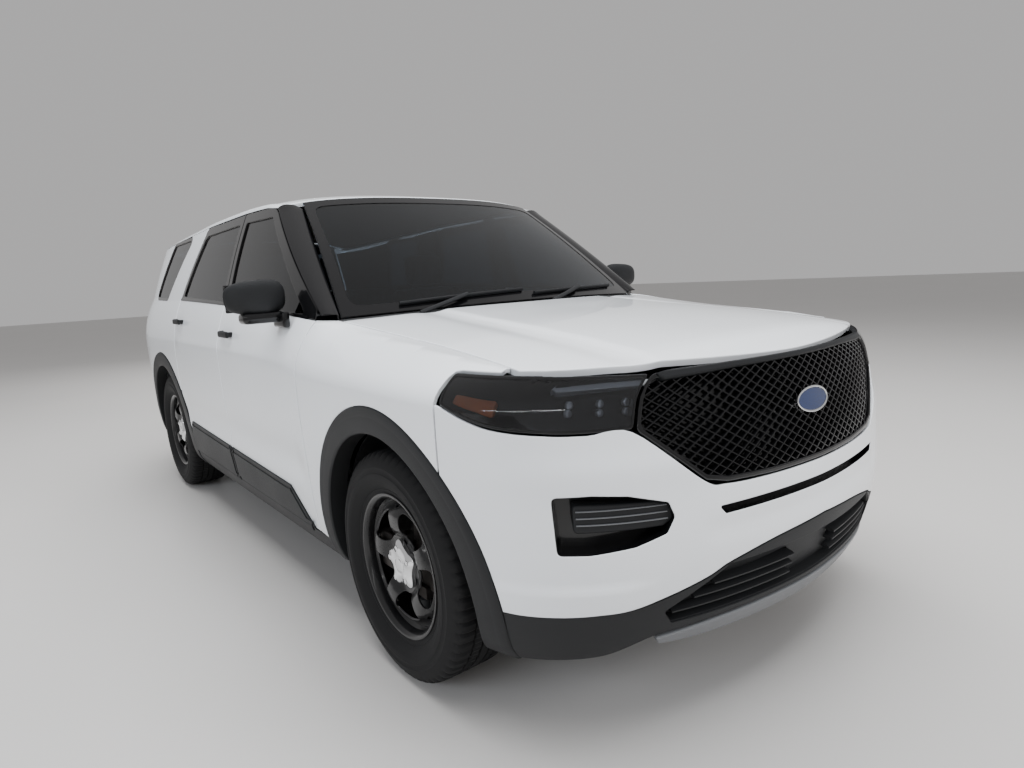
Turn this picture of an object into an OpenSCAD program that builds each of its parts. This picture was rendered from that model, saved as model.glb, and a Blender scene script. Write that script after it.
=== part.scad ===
// Patrol car: a five-door utility vehicle built as separate panels, lamps, glass and
// running gear on working joints. Millimetres. +X is the car's left, -Y its front,
// +Z up. The origin is on the ground under the middle of the body.

/* [Overall] */
// Length of the body over the bumpers
body_l = 5050; // [4600:10:5600]
// Width over the doors and fenders, without mirrors
body_w = 2004; // [1850:2:2200]
// Height of the roof above the ground
body_h = 1755; // [1600:5:2000]
// Distance between the axles
wheelbase = 3025; // [2800:5:3400]
// Distance from the front axle to the front of the bumper
front_overhang = 925; // [860:5:1000]
// Distance between the tyres' middles across the car
track = 1700; // [1620:2:1760]

/* [Wheels] */
// Outer diameter of the tyres
tyre_d = 763; // [700:1:780]
// Width of the tyres
tyre_w = 250; // [215:1:265]
// Diameter of the rims at the tyre's bead
rim_d = 457; // [406:1:508]
// Width of the rims
rim_w = 205; // [180:1:230]
// Clearance from the tyre to the inside of the wheel arch
arch_clear = 54; // [50:1:80]
// Width of the cladding band round each arch
arch_band = 88; // [60:1:110]

/* [Body levels] */
// Height of the rocker's underside
sill_z = 232; // [200:1:260]
// Height of the door bottoms
door_z = 335; // [310:1:360]
// Height of the widest line of the body
shoulder_z = 950; // [900:5:1000]
// Height of the belt line at the front of the front door
belt_front_z = 1162; // [1120:1:1200]
// Height of the belt line at the back of the rear door
belt_rear_z = 1252; // [1200:1:1300]
// Height of the roof's crown above its edge over the doors
roof_crown = 88; // [70:1:110]
// Height of the cowl in the middle
cowl_z = 1186; // [1150:1:1210]
// Height of the top of the bumper at the back
rear_bumper_z = 702; // [660:1:740]

/* [Doors] */
// Distance from the front axle to the front edge of the front door
door_set = 600; // [580:5:680]
// Length of the front door at the belt
front_door_l = 1040; // [900:5:1150]
// Distance from the rear axle forward to the rear edge of the rear door
rear_door_set = 440; // [400:5:470]
// Thickness of a door below the belt
door_t = 105; // [80:1:130]
// Thickness of a door's window frame
frame_t = 40; // [30:1:50]
// Width of a door's window frame
frame_w = 46; // [36:1:60]

/* [Panels] */
// Gap round the panels that open
gap = 6; // [5:0.5:9]
// Gap between fixed panels
seam = 3; // [2:0.5:5]
// Thickness of the fenders and bumper covers
skin_t = 14; // [10:1:20]
// Thickness of the bonnet and the liftgate
lid_t = 24; // [18:1:40]
// Thickness of the roof with its lining
roof_t = 34; // [24:1:45]
// Thickness of the glass
glass_t = 6; // [4:1:8]
// How far glass sits inside its frame
glass_set = 8; // [4:1:14]

/* [Number plate] */
// Spacing of the number plate's screw holes across
plate_dx = 177.8; // [150:0.1:200]
// Spacing of the number plate's screw holes up and down
plate_dz = 120.6; // [100:0.1:140]
// Radius of the screw holes
plate_hole_r = 3.5; // [2.5:0.1:4.5]

/* [Hidden] */

half_w = body_w / 2;
front_y = -body_l / 2;
rear_y = body_l / 2;
axle_f = front_y + front_overhang;
axle_r = axle_f + wheelbase;
axle_z = tyre_d / 2;
wheel_x = track / 2;
arch_r = tyre_d / 2 + arch_clear;      // inside of the arch
arch_out = arch_r + arch_band;         // outside of the arch's cladding
side_f = axle_f + 100;                 // where the front corner starts to turn
side_r = axle_r - 25;                  // where the rear corner starts to turn
door_y0 = axle_f + door_set;           // front edge of the front door
door_y1 = door_y0 + front_door_l;      // split between the doors
door_y2 = axle_r - rear_door_set;      // rear edge of the rear door
rail_z = body_h - roof_crown;          // roof's edge over the doors
paint = "white";
trim = [0.1, 0.1, 0.11];
tint = [0.1, 0.14, 0.2, 0.6];

// ---- Small functions ----
function lerp(a, b, t) = a + (b - a) * t;
function clamp(x, lo, hi) = min(hi, max(lo, x));
function ease(t) = let (c = clamp(t, 0, 1)) c * c * (3 - 2 * c);
function sgn(x) = x < 0 ? -1 : 1;
function unit(v) = v / norm(v);
function flip_x(p) = [-p[0], p[1], p[2]];

// A smooth curve through a table of [x, y] rows, flat outside it.
function row_at(tab, x, i = 0) =
    i >= len(tab) - 2 || x < tab[i + 1][0] ? i : row_at(tab, x, i + 1);
function slope_at(tab, i) =
    let (a = max(i - 1, 0), b = min(i + 1, len(tab) - 1))
    (tab[b][1] - tab[a][1]) / (tab[b][0] - tab[a][0]);
function curve(tab, x) =
    let (
        c = clamp(x, tab[0][0], tab[len(tab) - 1][0]),
        i = row_at(tab, c),
        h = tab[i + 1][0] - tab[i][0],
        t = (c - tab[i][0]) / h
    )
    (2 * t ^ 3 - 3 * t ^ 2 + 1) * tab[i][1] + (t ^ 3 - 2 * t ^ 2 + t) * h * slope_at(tab, i)
    + (3 * t ^ 2 - 2 * t ^ 3) * tab[i + 1][1] + (t ^ 3 - t ^ 2) * h * slope_at(tab, i + 1);

// The point at share u along a list of points, each step counting the same.
function rail(pts, u) =
    let (s = clamp(u, 0, 1) * (len(pts) - 1), i = min(floor(s), len(pts) - 2))
    lerp(pts[i], pts[i + 1], s - i);

// ---- The body's outer skin ----
// Share of the full width at each height below the shoulder.
waist_tab = [
    [sill_z - 30, 0.885], [sill_z + 60, 0.945], [sill_z + 190, 0.972],
    [600, 0.986], [800, 0.997], [shoulder_z, 1]
];
// Height of the body's upper edge along the car: bonnet edge, then belt line.
edge_tab = [
    [front_y + 85, 1028], [front_y + 425, 1052], [axle_f - 300, 1074], [axle_f, 1100],
    [door_y0 - 200, belt_front_z - 28], [door_y0, belt_front_z],
    [door_y0 + 400, lerp(belt_front_z, belt_rear_z, 0.36)],
    [door_y1, lerp(belt_front_z, belt_rear_z, 0.68)], [door_y2, belt_rear_z],
    [rear_y - 500, belt_rear_z + 16]
];
// Share of the width lost between the shoulder and that edge.
tuck_tab = [
    [front_y + 425, 0.110], [axle_f, 0.148], [door_y0 - 200, 0.132], [door_y0, 0.104],
    [door_y0 + 400, 0.076], [door_y1, 0.066], [door_y2, 0.070], [rear_y - 500, 0.085]
];
// Set-back of the nose and of the tail on the centre line at each height.
nose_tab = [
    [200, 150], [260, 85], [330, 45], [450, 12], [560, 0], [700, 10], [850, 38],
    [1000, 74], [1045, 92]
];
tail_tab = [
    [200, 150], [300, 70], [450, 12], [560, 0], [690, 4], [760, 30], [950, 22], [1100, 30],
    [1200, 62], [1300, 112], [1500, 210], [rail_z - 20, 285], [rail_z + 60, 330]
];
nose_n = 5;         // how square the front corners are, along and across
nose_m = 1.73;
tail_n = 5;
tail_m = 2.2;
nose_turn = 0.75;   // share of the corner at which the skin faces 45 degrees
tail_turn = 0.80;
wrap_front = -3400; // the parameter s at the middle of the nose
wrap_rear = 3250;   // and at the middle of the tail

function nose_y(z) = front_y + curve(nose_tab, z);
function tail_y(z) = rear_y - curve(tail_tab, z);
function edge_z(y) = curve(edge_tab, y);
function tuck(y) = curve(tuck_tab, y);
function wide(y, z) =
    let (e = edge_z(y), h = z - e)
    z <= shoulder_z ? half_w * curve(waist_tab, z)
    : z <= e ? half_w * (1 - tuck(y) * ((z - shoulder_z) / (e - shoulder_z)) ^ 2)
    : half_w * (1 - tuck(y)) - 0.27 * h - 0.00018 * h * h;
function taper(t, n, m) = (1 - clamp(t, 0, 1) ^ n) ^ (1 / m);
function nose_share(y, z) = clamp((side_f - y) / (side_f - nose_y(z)), 0, 1);
function tail_share(y, z) = clamp((y - side_r) / (tail_y(z) - side_r), 0, 1);
// Half width of the skin at a place along the car and a height.
function skin_x(y, z) =
    wide(y, z) * taper(nose_share(y, z), nose_n, nose_m)
    * taper(tail_share(y, z), tail_n, tail_m);
// Where the skin is at half width x, on the nose and on the tail.
function nose_at(x, z) =
    let (w = wide(front_y + 425, z), d = side_f - nose_y(z))
    side_f - d * (1 - clamp(abs(x) / w, 0, 1) ^ nose_m) ^ (1 / nose_n);
function tail_at(x, z) =
    let (w = wide(rear_y - 500, z), d = tail_y(z) - side_r)
    side_r + d * (1 - clamp(abs(x) / w, 0, 1) ^ tail_m) ^ (1 / tail_n);

// The band of skin round the car as one surface: s is y along the sides, and runs on
// round the corners to wrap_front and wrap_rear at the middle of the nose and tail.
function turn_y(front, z) =
    front ? side_f - nose_turn * (side_f - nose_y(z))
          : side_r + tail_turn * (tail_y(z) - side_r);
function s_of_x(front, x, z) =
    let (y = turn_y(front, z), x1 = skin_x(y, z), end = front ? wrap_front : wrap_rear)
    lerp(y, end, clamp(1 - x / x1, 0, 1));
function band(s, z) =
    let (front = s < 0, y = turn_y(front, z), end = front ? wrap_front : wrap_rear)
    (front ? s >= y : s <= y) ? [skin_x(s, z), s, z]
    : let (x = skin_x(y, z) * (1 - (s - y) / (end - y)))
      [x, front ? nose_at(x, z) : tail_at(x, z), z];
// A point of the band from an outline's point [s, z].
function band_at(q) = band(q[0], q[1]);
function on_nose(x, z) = [s_of_x(true, x, z), z];
function on_tail(x, z) = [s_of_x(false, x, z), z];

// ---- Solids from surfaces ----
// Joins sections, each a closed loop of an even number of points whose second half
// returns along the first, into one solid. closed joins the last to the first.
function loft_faces(n, k, closed, flip) = [
    for (i = [0:n - (closed ? 1 : 2)], j = [0:k - 1])
        let (a = i * k + j, b = i * k + (j + 1) % k,
             c = (i + 1) % n * k + (j + 1) % k, d = (i + 1) % n * k + j)
        each flip ? [[a, b, c], [a, c, d]] : [[a, c, b], [a, d, c]],
    if (!closed) for (j = [0:k / 2 - 2], end = [0, n - 1])
        let (a = end * k + j, b = end * k + j + 1,
             c = end * k + k - 2 - j, d = end * k + k - 1 - j)
        each (end == 0) != flip ? [[a, b, c], [a, c, d]] : [[a, c, b], [a, d, c]]
];
module loft(sections, closed = false, flip = false) {
    k = len(sections[0]);
    polyhedron([for (s = sections) each s], loft_faces(len(sections), k, closed, flip));
}

// Outward unit normal of the surface f at (u, v), where u runs along and v up it.
function normal_of(f, u, v, e = 0.004) =
    let (
        a = clamp(u - e, 0, 1), b = clamp(u + e, 0, 1),
        c = clamp(v - e, 0, 1), d = clamp(v + e, 0, 1)
    )
    unit(cross(f(b, v) - f(a, v), f(u, d) - f(u, c)));
function thick(t, v) = is_function(t) ? t(v) : t;
// A panel that follows the surface f, t thick, its inner face drawn in from the edges.
// side is 1 if the cross product of the u and v directions points outwards, or else -1.
function panel_sections(f, nu, nv, t, draw_u, draw_v, side, sink) = [
    for (i = [0:nu])
        let (u = i / nu, iu = lerp(draw_u, 1 - draw_u, u))
        concat(
            [for (j = [0:nv])
                let (v = j / nv)
                sink == 0 ? f(u, v) : f(u, v) - side * sink * normal_of(f, u, v)],
            [for (j = [nv:-1:0])
                let (v = lerp(draw_v, 1 - draw_v, j / nv))
                f(iu, v) - side * (thick(t, j / nv) + sink) * normal_of(f, iu, v)]
        )
];
module panel(f, nu, nv, t, draw_u = 0, draw_v = 0, side = 1, sink = 0) {
    loft(panel_sections(f, nu, nv, t, draw_u, draw_v, side, sink), flip = side > 0);
}
// The surface between two outlines of [s, z] points on the band.
function between(low, high) = function (u, v) band_at(lerp(rail(low, u), rail(high, u), v));
// The same surface, running from one side of the car to the other across the middle.
function across(low, high) =
    function (u, v)
        let (p = between(low, high)(abs(2 * u - 1), v)) [sgn(2 * u - 1) * p[0], p[1], p[2]];

module both_sides() {
    children();
    mirror([1, 0, 0]) children();
}
module side_of(left) {
    if (left) children();
    else mirror([1, 0, 0]) children();
}
// Keeps what is joined here as one mesh.
module one_skin() {
    resize([0, 0, 0]) children();
}
module block(lo, hi) {
    translate(lo) cube(hi - lo);
}
// A bar of square section along a list of points.
module bar(pts, size) {
    for (i = [0:len(pts) - 2]) hull() {
        translate(pts[i]) cube(size, center = true);
        translate(pts[i + 1]) cube(size, center = true);
    }
}
// A round bar between two points.
module rod(a, b, r) {
    d = b - a;
    translate(a)
        rotate([0, acos(d[2] / norm(d)), atan2(d[1], d[0])])
            cylinder(r = r, h = norm(d), $fn = 32);
}

// ---- Lines shared by the panels ----
arch_z = axle_z + 10;                  // middle of the wheel arches
gate_y = rear_y - 440;                 // split between roof and liftgate
glass_base = [815, door_y0 - 46, belt_front_z + 1];
glass_top = [659, door_y0 + 611, rail_z - 6];
// Height of the top of the door openings along the car.
head_tab = [
    [door_y0 - 60, belt_front_z - 8], [door_y0 + 612, rail_z - 24],
    [door_y0 + 760, rail_z - 8], [door_y1, rail_z - 4], [door_y1 + 600, rail_z - 14],
    [rear_y - 1500, rail_z - 32], [rear_y - 1000, rail_z - 52], [rear_y - 425, rail_z - 84]
];
// Half width, edge height and crown height of the roof along the car.
roof_w_tab = [
    [door_y0 + 510, 0.742], [door_y0 + 612, 0.764], [door_y0 + 1000, 0.785],
    [door_y0 + 1600, 0.786], [rear_y - 1300, 0.776], [rear_y - 700, 0.748],
    [rear_y - 425, 0.716], [rear_y - 185, 0.664]
];
roof_low_tab = [
    [door_y0 + 510, rail_z - 40], [door_y0 + 612, rail_z - 26], [door_y0 + 760, rail_z - 9],
    [door_y1, rail_z - 2], [door_y1 + 600, rail_z - 12], [rear_y - 1500, rail_z - 30],
    [rear_y - 1000, rail_z - 51], [rear_y - 425, rail_z - 83], [rear_y - 185, rail_z - 106]
];
roof_top_tab = [
    [door_y0 + 515, body_h - 52], [door_y0 + 775, body_h - 14], [door_y0 + 1200, body_h - 2],
    [door_y0 + 1600, body_h], [rear_y - 1300, body_h - 13], [rear_y - 700, body_h - 47],
    [rear_y - 425, body_h - 66], [rear_y - 185, body_h - 80]
];
// Heights of the bonnet along the car, on its middle line and at its edges.
hood_mid_tab = [
    [front_y + 85, 1030], [front_y + 145, 1052], [front_y + 225, 1074], [front_y + 425, 1100],
    [front_y + 725, 1128], [front_y + 1025, 1150], [door_y0 - 170, cowl_z - 8]
];
hood_edge_tab = [
    [front_y + 85, 985], [front_y + 215, 1018], [front_y + 400, 1048],
    [front_y + 725, 1083], [axle_f + 100, 1112], [door_y0 - 100, belt_front_z - 4]
];
function roof_w(y) = body_w / 2 * curve(roof_w_tab, y);
function roof_z(x, y) =
    let (lo = curve(roof_low_tab, y), hi = curve(roof_top_tab, y), w = roof_w(y))
    lo + (hi - lo) * (1 - clamp(abs(x) / w, 0, 1) ^ 2.6) ^ 0.667;
function ditch_x(y) = roof_w(y) - 61;
function hood_z(x, y) =
    lerp(curve(hood_mid_tab, y), curve(hood_edge_tab, y), clamp(abs(x) / 830, 0, 1) ^ 2.6);
// The bonnet's edge beside the fender, front to back, as v goes from 0 to 1.
function hood_side(v, out = 0) =
    let (
        x = lerp(826, 836, v) - 24 * sin(180 * v) + out,
        y = lerp(nose_at(826, 1045), door_y0 - 112, v)
    ) [x, y, hood_z(x, y)];
hood_at = function (u, v)
    let (
        a = abs(2 * u - 1), e = hood_side(v),
        f = nose_at(826 * a, 1045) + gap, r = door_y0 - 232 + 120 * a * a,
        x = sgn(2 * u - 1) * a * e[0], y = lerp(f, r, v)
    ) [x, y, hood_z(x, y)];
roof_at = function (u, v)
    let (
        x0 = (2 * u - 1) * 705,
        y = lerp(door_y0 + 540 + 81 * (x0 / 659) ^ 2, gate_y, v),
        x = (2 * u - 1) * ditch_x(y)
    ) [x, y, roof_z(x, y)];
// The windshield, ruled between the cowl and the roof with a slight bulge.
shield_at = function (u, v)
    let (
        c = 2 * u - 1,
        low = [glass_base[0] * c, glass_base[1] - 139 * (1 - c * c), cowl_z - 6 - 17 * c * c],
        x = glass_top[0] * c,
        y = glass_top[1] - 81 * (1 - c * c),
        high = [x, y, roof_z(x, y) - 3],
        bulge = 14 * sin(180 * v)
    ) lerp(low, high, v) + [0, -0.58, 0.81] * bulge;
// Half width of the liftgate at each height.
gate_tab = [[rear_bumper_z, 742], [1180, 744], [1300, 716], [rail_z - 20, 590]];
function gate_x(z) = curve(gate_tab, z);
function gate_s(z, out) = s_of_x(false, gate_x(z) + out, z);

// A prism along X over an outline in [y, z], on the left of the car.
module side_prism(pts, grow = 0, lo = 560, hi = 1120) {
    translate([lo, 0, 0]) rotate([90, 0, 90]) linear_extrude(hi - lo)
        offset(delta = grow) polygon(pts);
}
// A round bar across the left of the car through a wheel's middle.
module arch_bar(y, r, lo = 400, hi = 1150) {
    translate([lo, y, arch_z]) rotate([0, 90, 0]) cylinder(r = r, h = hi - lo, $fn = 96);
}
module both_arches(r) {
    arch_bar(axle_f, r);
    arch_bar(axle_r, r);
}

// ---- Doors ----
front_y0 = door_y0 + gap / 2;
front_y1 = door_y1 - gap / 2;
rear_y0 = door_y1 + gap / 2;
rear_y1 = door_y2 - gap / 2;
function head_z(y) = lookup(y, head_tab);
front_window = [
    [door_y0 + 92, edge_z(door_y0 + 92) + 14],
    [door_y0 + 640, rail_z - 55],
    [front_y1 - frame_w, rail_z - 50],
    [front_y1 - frame_w, edge_z(door_y1) + 16]
];
rear_window = [
    [rear_y0 + frame_w, edge_z(door_y1) + 16],
    [rear_y0 + frame_w, rail_z - 50],
    [rear_y1 - 320, rail_z - 60],
    [rear_y1 - 285, rail_z - 78],
    [rear_y1 - 66, edge_z(rear_y1) + 22]
];
belt_v = 0.6;            // share of a door's rows that lie below the belt
door_thick = function (v) v < belt_v ? door_t : frame_t;
// A door's face: rows up to the belt, then rows up to the outline of its frame.
function door_face(y0, y1, tops) = function (u, v)
    let (y = lerp(y0, y1, u), belt = [y, edge_z(y)])
    v <= belt_v ? band_at(lerp([y, door_z], belt, v / belt_v))
                : band_at(lerp(belt, rail(tops, u), (v - belt_v) / (1 - belt_v)));
front_top = [
    [front_y0, head_z(front_y0) + 4], [door_y0 + 250, head_z(door_y0 + 250)],
    [door_y0 + 500, head_z(door_y0 + 500)], [door_y0 + 620, head_z(door_y0 + 620)],
    [door_y0 + 760, head_z(door_y0 + 760)], [door_y0 + 900, head_z(door_y0 + 900)],
    [front_y1, head_z(front_y1)]
];
rear_top = [
    [rear_y0, head_z(rear_y0)], [rear_y0 + 220, head_z(rear_y0 + 220)],
    [rear_y0 + 430, head_z(rear_y0 + 430)], [rear_y1 - 285, head_z(rear_y1 - 285)],
    [rear_y1 - 245, head_z(rear_y1) - 50], [rear_y1 - 110, edge_z(rear_y1) + 146],
    [rear_y1 - 15, edge_z(rear_y1) + 18]
];
front_face = door_face(front_y0, front_y1, front_top);
rear_face = door_face(rear_y0, rear_y1, rear_top);
module door(face, window) {
    one_skin() difference() {
        panel(face, 10, 10, door_thick, 0.026, 0.008);
        side_prism(window);
    }
}
module door_glass(face, window) {
    one_skin() intersection() {
        panel(face, 12, 10, glass_t, 0, 0, sink = glass_set);
        side_prism(window, -1);
    }
}
module front_door(left) {
    color(paint) side_of(left) door(front_face, front_window);
}
module rear_door(left) {
    color(paint) side_of(left) one_skin() difference() {
        panel(rear_face, 12, 10, door_thick, 0.026, 0.008);
        side_prism(rear_window);
        arch_bar(axle_r, arch_out + gap);
    }
}
module front_door_left() {
    front_door(true);
}
module front_door_right() {
    front_door(false);
}
module rear_door_left() {
    rear_door(true);
}
module rear_door_right() {
    rear_door(false);
}
module front_door_glass_left() {
    color(tint) door_glass(front_face, front_window);
}
module front_door_glass_right() {
    color(tint) side_of(false) door_glass(front_face, front_window);
}
module rear_door_glass_left() {
    color(tint) door_glass(rear_face, rear_window);
}
module rear_door_glass_right() {
    color(tint) side_of(false) door_glass(rear_face, rear_window);
}

// ---- Body sides ----
quarter_window = [
    [rear_y - 1148, edge_z(rear_y - 1148) + 12],
    [rear_y - 1480, rail_z - 68],
    [rear_y - 1455, rail_z - 55],
    [rear_y - 1033, rail_z - 62],
    [rear_y - 1010, rail_z - 78],
    [rear_y - 807, edge_z(rear_y - 807) + 14]
];
// Cross-section of the pillar and roof rail at a place along the car.
function rail_section(y) =
    let (
        z1 = head_z(y) + gap,
        p1 = [skin_x(y, z1) - 2, y, z1],
        t = clamp((y - glass_base[1]) / (glass_top[1] - glass_base[1]), 0, 1),
        pillar = lerp(glass_base, glass_top, t) + [4, 0, 0],
        xd = ditch_x(y) + seam,
        p2 = y < glass_top[1] + 4 ? [pillar[0], y, pillar[2]] : [xd, y, roof_z(xd, y)],
        pm = (p1 + p2) / 2 + [9, 0, 9],
        p3 = p2 + [3, 0, -34],
        p4 = p1 + [-60, 0, 0]
    ) [p1, pm, p2, p3, (p3 + p4) / 2, p4];
rail_ys = concat(
    [for (i = [0:5]) lerp(door_y0 - 36, glass_top[1] + 2, i / 5)],
    [for (i = [0:12]) lerp(glass_top[1] + 14, gate_y - 4, i / 12)]
);
quarter_rows = [
    [
        [door_y2 + gap / 2, rear_bumper_z + seam], [rear_y - 600, rear_bumper_z + seam],
        [gate_s(rear_bumper_z, gap), rear_bumper_z + seam]
    ],
    [
        [door_y2 + gap / 2, edge_z(door_y2)], [rear_y - 600, edge_z(rear_y - 600)],
        [gate_s(belt_rear_z + 12, gap), belt_rear_z + 12]
    ],
    [
        [door_y2 - 277, head_z(door_y2 - 280) + 4], [rear_y - 925, head_z(rear_y - 925) + 3],
        [gate_s(rail_z - 92, gap), rail_z - 92]
    ]
];
quarter_face = function (u, v)
    let (rows = [for (r = quarter_rows) rail(r, u)]) band_at(rail(rows, v));
lamp_low = [[gate_s(935, gap), 940], [rear_y - 300, 952], [rear_y - 452, 1032]];
lamp_high = [[gate_s(1140, gap), 1148], [rear_y - 300, 1146], [rear_y - 436, 1128]];
fuel_outline = [axle_r + 205, axle_r + 375, 985, 1150];   // y from, y to, z from, z to
fuel_face = function (u, v) band(lerp(fuel_outline[0], fuel_outline[1], u),
    lerp(fuel_outline[2], fuel_outline[3], v));
module quarter(fuel) {
    one_skin() difference() {
        panel(quarter_face, 16, 8, function (v) v < 0.5 ? 92 : 56, 0.004, 0.01);
        side_prism(quarter_window);
        both_arches(arch_out + 1.5);
        panel(between(lamp_low, lamp_high), 8, 2, 110, 0, 0, side = -1, sink = -30);
        if (fuel) panel(fuel_face, 2, 2, 85, 0, 0, sink = -30);
    }
}
// Roof rail, windshield pillar, hinge pillar, middle pillar and rocker in one piece.
module side_frame() {
    mid = door_y1;
    one_skin() union() {
        loft([for (y = rail_ys) rail_section(y)], flip = true);
        block([770, axle_f + arch_out + 8, sill_z + 22], [900, axle_r - arch_out - 8, door_z - 8]);
        block([776, door_y0 - 107, sill_z + 30], [862, door_y0 - 9, belt_front_z - 46]);
        block([820, door_y0 - 33, belt_front_z - 60], [853, door_y0 - 10, belt_front_z + 14]);
        loft([for (q = [
                [sill_z + 40, 776, 832], [belt_front_z + 40, 772, 824], [rail_z - 2, 713, 738]])
            [[q[1], mid - 43, q[0]], [q[2], mid - 43, q[0]], [q[2], mid + 43, q[0]], [q[1], mid + 43, q[0]]]
        ]);
    }
}
module quarter_left() {
    color(paint) quarter(true);
}
module quarter_right() {
    color(paint) side_of(false) quarter(false);
}
module side_frames() {
    color([0.05, 0.05, 0.05]) both_sides() side_frame();
}
module quarter_glass() {
    color(tint) both_sides() one_skin() intersection() {
        panel(quarter_face, 16, 8, glass_t, 0, 0, sink = glass_set);
        side_prism(quarter_window, -1);
    }
}
module fuel_door() {
    c = gap / 2;
    f = function (u, v) band(
        lerp(fuel_outline[0] + c, fuel_outline[1] - c, u),
        lerp(fuel_outline[2] + c, fuel_outline[3] - c, v));
    color(paint) panel(f, 3, 3, 8, 0.03, 0.03);
}
module roof() {
    color(paint) one_skin() panel(roof_at, 16, 10, roof_t, 0.012, 0.006);
}

// ---- Front of the body ----
fender_low = [
    [axle_f - 390, 745], [axle_f - 260, 745], [axle_f, 560], [axle_f + 300, door_z],
    [axle_f + 450, door_z], [door_y0 - gap / 2, door_z]
];
fender_s = [axle_f - 342, axle_f - 260, axle_f, axle_f + 300, axle_f + 450, door_y0 - gap / 2];
fender_face = function (u, v)
    let (
        s = rail([for (a = fender_s) [a]], u)[0], low = rail(fender_low, u),
        top = [s, edge_z(s)], k = 0.8,
        hv = (s - nose_at(826, 1045)) / (door_y0 - 112 - nose_at(826, 1045)),
        side = hood_side(clamp(hv, 0, 1)),
        x = side[0] + gap, y = s - 44 * clamp(hv, 0, 1)
    )
    v <= k ? band_at(lerp(low, top, v / k))
           : lerp(band_at(top), [x, y, hood_z(x, y)], (v - k) / (1 - k));
module fenders() {
    color(paint) both_sides() one_skin() difference() {
        panel(fender_face, 16, 9, skin_t, 0, 0);
        arch_bar(axle_f, arch_out + 1.5);
    }
}
module hood() {
    color(paint) one_skin() panel(hood_at, 16, 9, lid_t, 0.02, 0.04);
}

// A prism along Y over an outline in [x, z].
module front_prism(pts, y0, y1) {
    translate([0, y1, 0]) rotate([90, 0, 0]) linear_extrude(y1 - y0) polygon(pts);
}
bumper_high = [
    on_nose(0, 709), on_nose(230, 710), on_nose(400, 716), on_nose(480, 738),
    on_nose(655, 888), on_nose(760, 897), on_nose(840, 910), [front_y + 385, 940],
    [front_y + 460, 968], [axle_f - 388, 997]
];
bumper_low = [
    on_nose(0, 545), on_nose(230, 530), on_nose(400, 500), on_nose(480, 470),
    on_nose(655, 424), on_nose(760, 418), on_nose(840, 416), [front_y + 385, 415],
    [front_y + 460, 414], [axle_f - 392, 413]
];
valance_high = [for (q = bumper_low) [q[0], q[1] - seam]];
valance_low = [
    on_nose(0, 331), on_nose(230, 330), on_nose(400, 326), on_nose(480, 322),
    on_nose(600, 314), on_nose(700, 262), on_nose(820, 250), [front_y + 385, 246],
    [front_y + 450, 246], [axle_f - 430, 290]
];
skid_high = [on_nose(0, 327), on_nose(230, 326), on_nose(400, 322), on_nose(480, 318), on_nose(590, 310)];
skid_low = [on_nose(0, 268), on_nose(230, 268), on_nose(400, 270), on_nose(480, 272), on_nose(570, 280)];
vent_low = [on_nose(600, 672), on_nose(680, 650), on_nose(770, 640), on_nose(845, 640)];
vent_high = [on_nose(604, 694), on_nose(690, 744), on_nose(770, 758), on_nose(840, 764)];
grille_low = [
    on_nose(0, 713), on_nose(230, 714), on_nose(400, 720), on_nose(480, 742), on_nose(646, 890)
];
grille_high = [
    on_nose(0, 1022), on_nose(230, 1026), on_nose(400, 1030), on_nose(500, 1030), on_nose(566, 1022)
];
intake = [[-400, 492], [-590, 392], [-560, 348], [560, 348], [590, 392], [400, 492]];
slot = [[-420, 640], [-440, 662], [440, 662], [420, 640]];
function shifted(rail_pts, dz) = [for (q = rail_pts) [q[0], q[1] + dz]];

module front_bumper() {
    color(paint) one_skin() difference() {
        panel(across(bumper_low, bumper_high), 40, 5, skin_t, 0, 0.01);
        front_prism(slot, front_y - 50, front_y + 200);
        both_sides() panel(between(vent_low, vent_high), 6, 2, 90, 0, 0, sink = -30);
        both_sides() arch_bar(axle_f, arch_out + 1.5);
    }
}
module front_valance() {
    color(trim) one_skin() difference() {
        panel(across(valance_low, valance_high), 40, 3, skin_t + 4, 0, 0.01);
        front_prism(intake, front_y - 50, front_y + 260);
        both_sides() arch_bar(axle_f, arch_out + 1.5);
    }
}
module skid_plate() {
    color([0.72, 0.73, 0.75])
        one_skin() panel(across(skid_low, skid_high), 24, 2, skin_t + 4, 0, 0, sink = -6);
}
module grilles() {
    color(trim) {
        panel(across(grille_low, grille_high), 20, 4, 20, 0, 0, sink = 6);
        front_prism([[-575, 352], [-590, 385], [-400, 486], [400, 486], [590, 385], [575, 352]],
            nose_y(420) + 150, nose_y(420) + 166);
        both_sides() one_skin()
            panel(between(shifted(vent_low, 3), shifted(vent_high, -3)), 6, 2, 10, 0.02, 0, sink = 36);
    }
}
lens_low = [
    on_nose(652, 894), on_nose(760, 901), on_nose(840, 914), [front_y + 385, 944],
    [front_y + 460, 972], [front_y + 560, 1012]
];
lens_high = [
    on_nose(570, 1020), on_nose(690, 1028), on_nose(830, 1032), [front_y + 345, 1034],
    [front_y + 440, 1037], [front_y + 575, 1040]
];
module headlights() {
    color([0.12, 0.13, 0.15, 0.8])
        both_sides() panel(between(lens_low, lens_high), 14, 3, 60, 0.02, 0.02);
}
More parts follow.
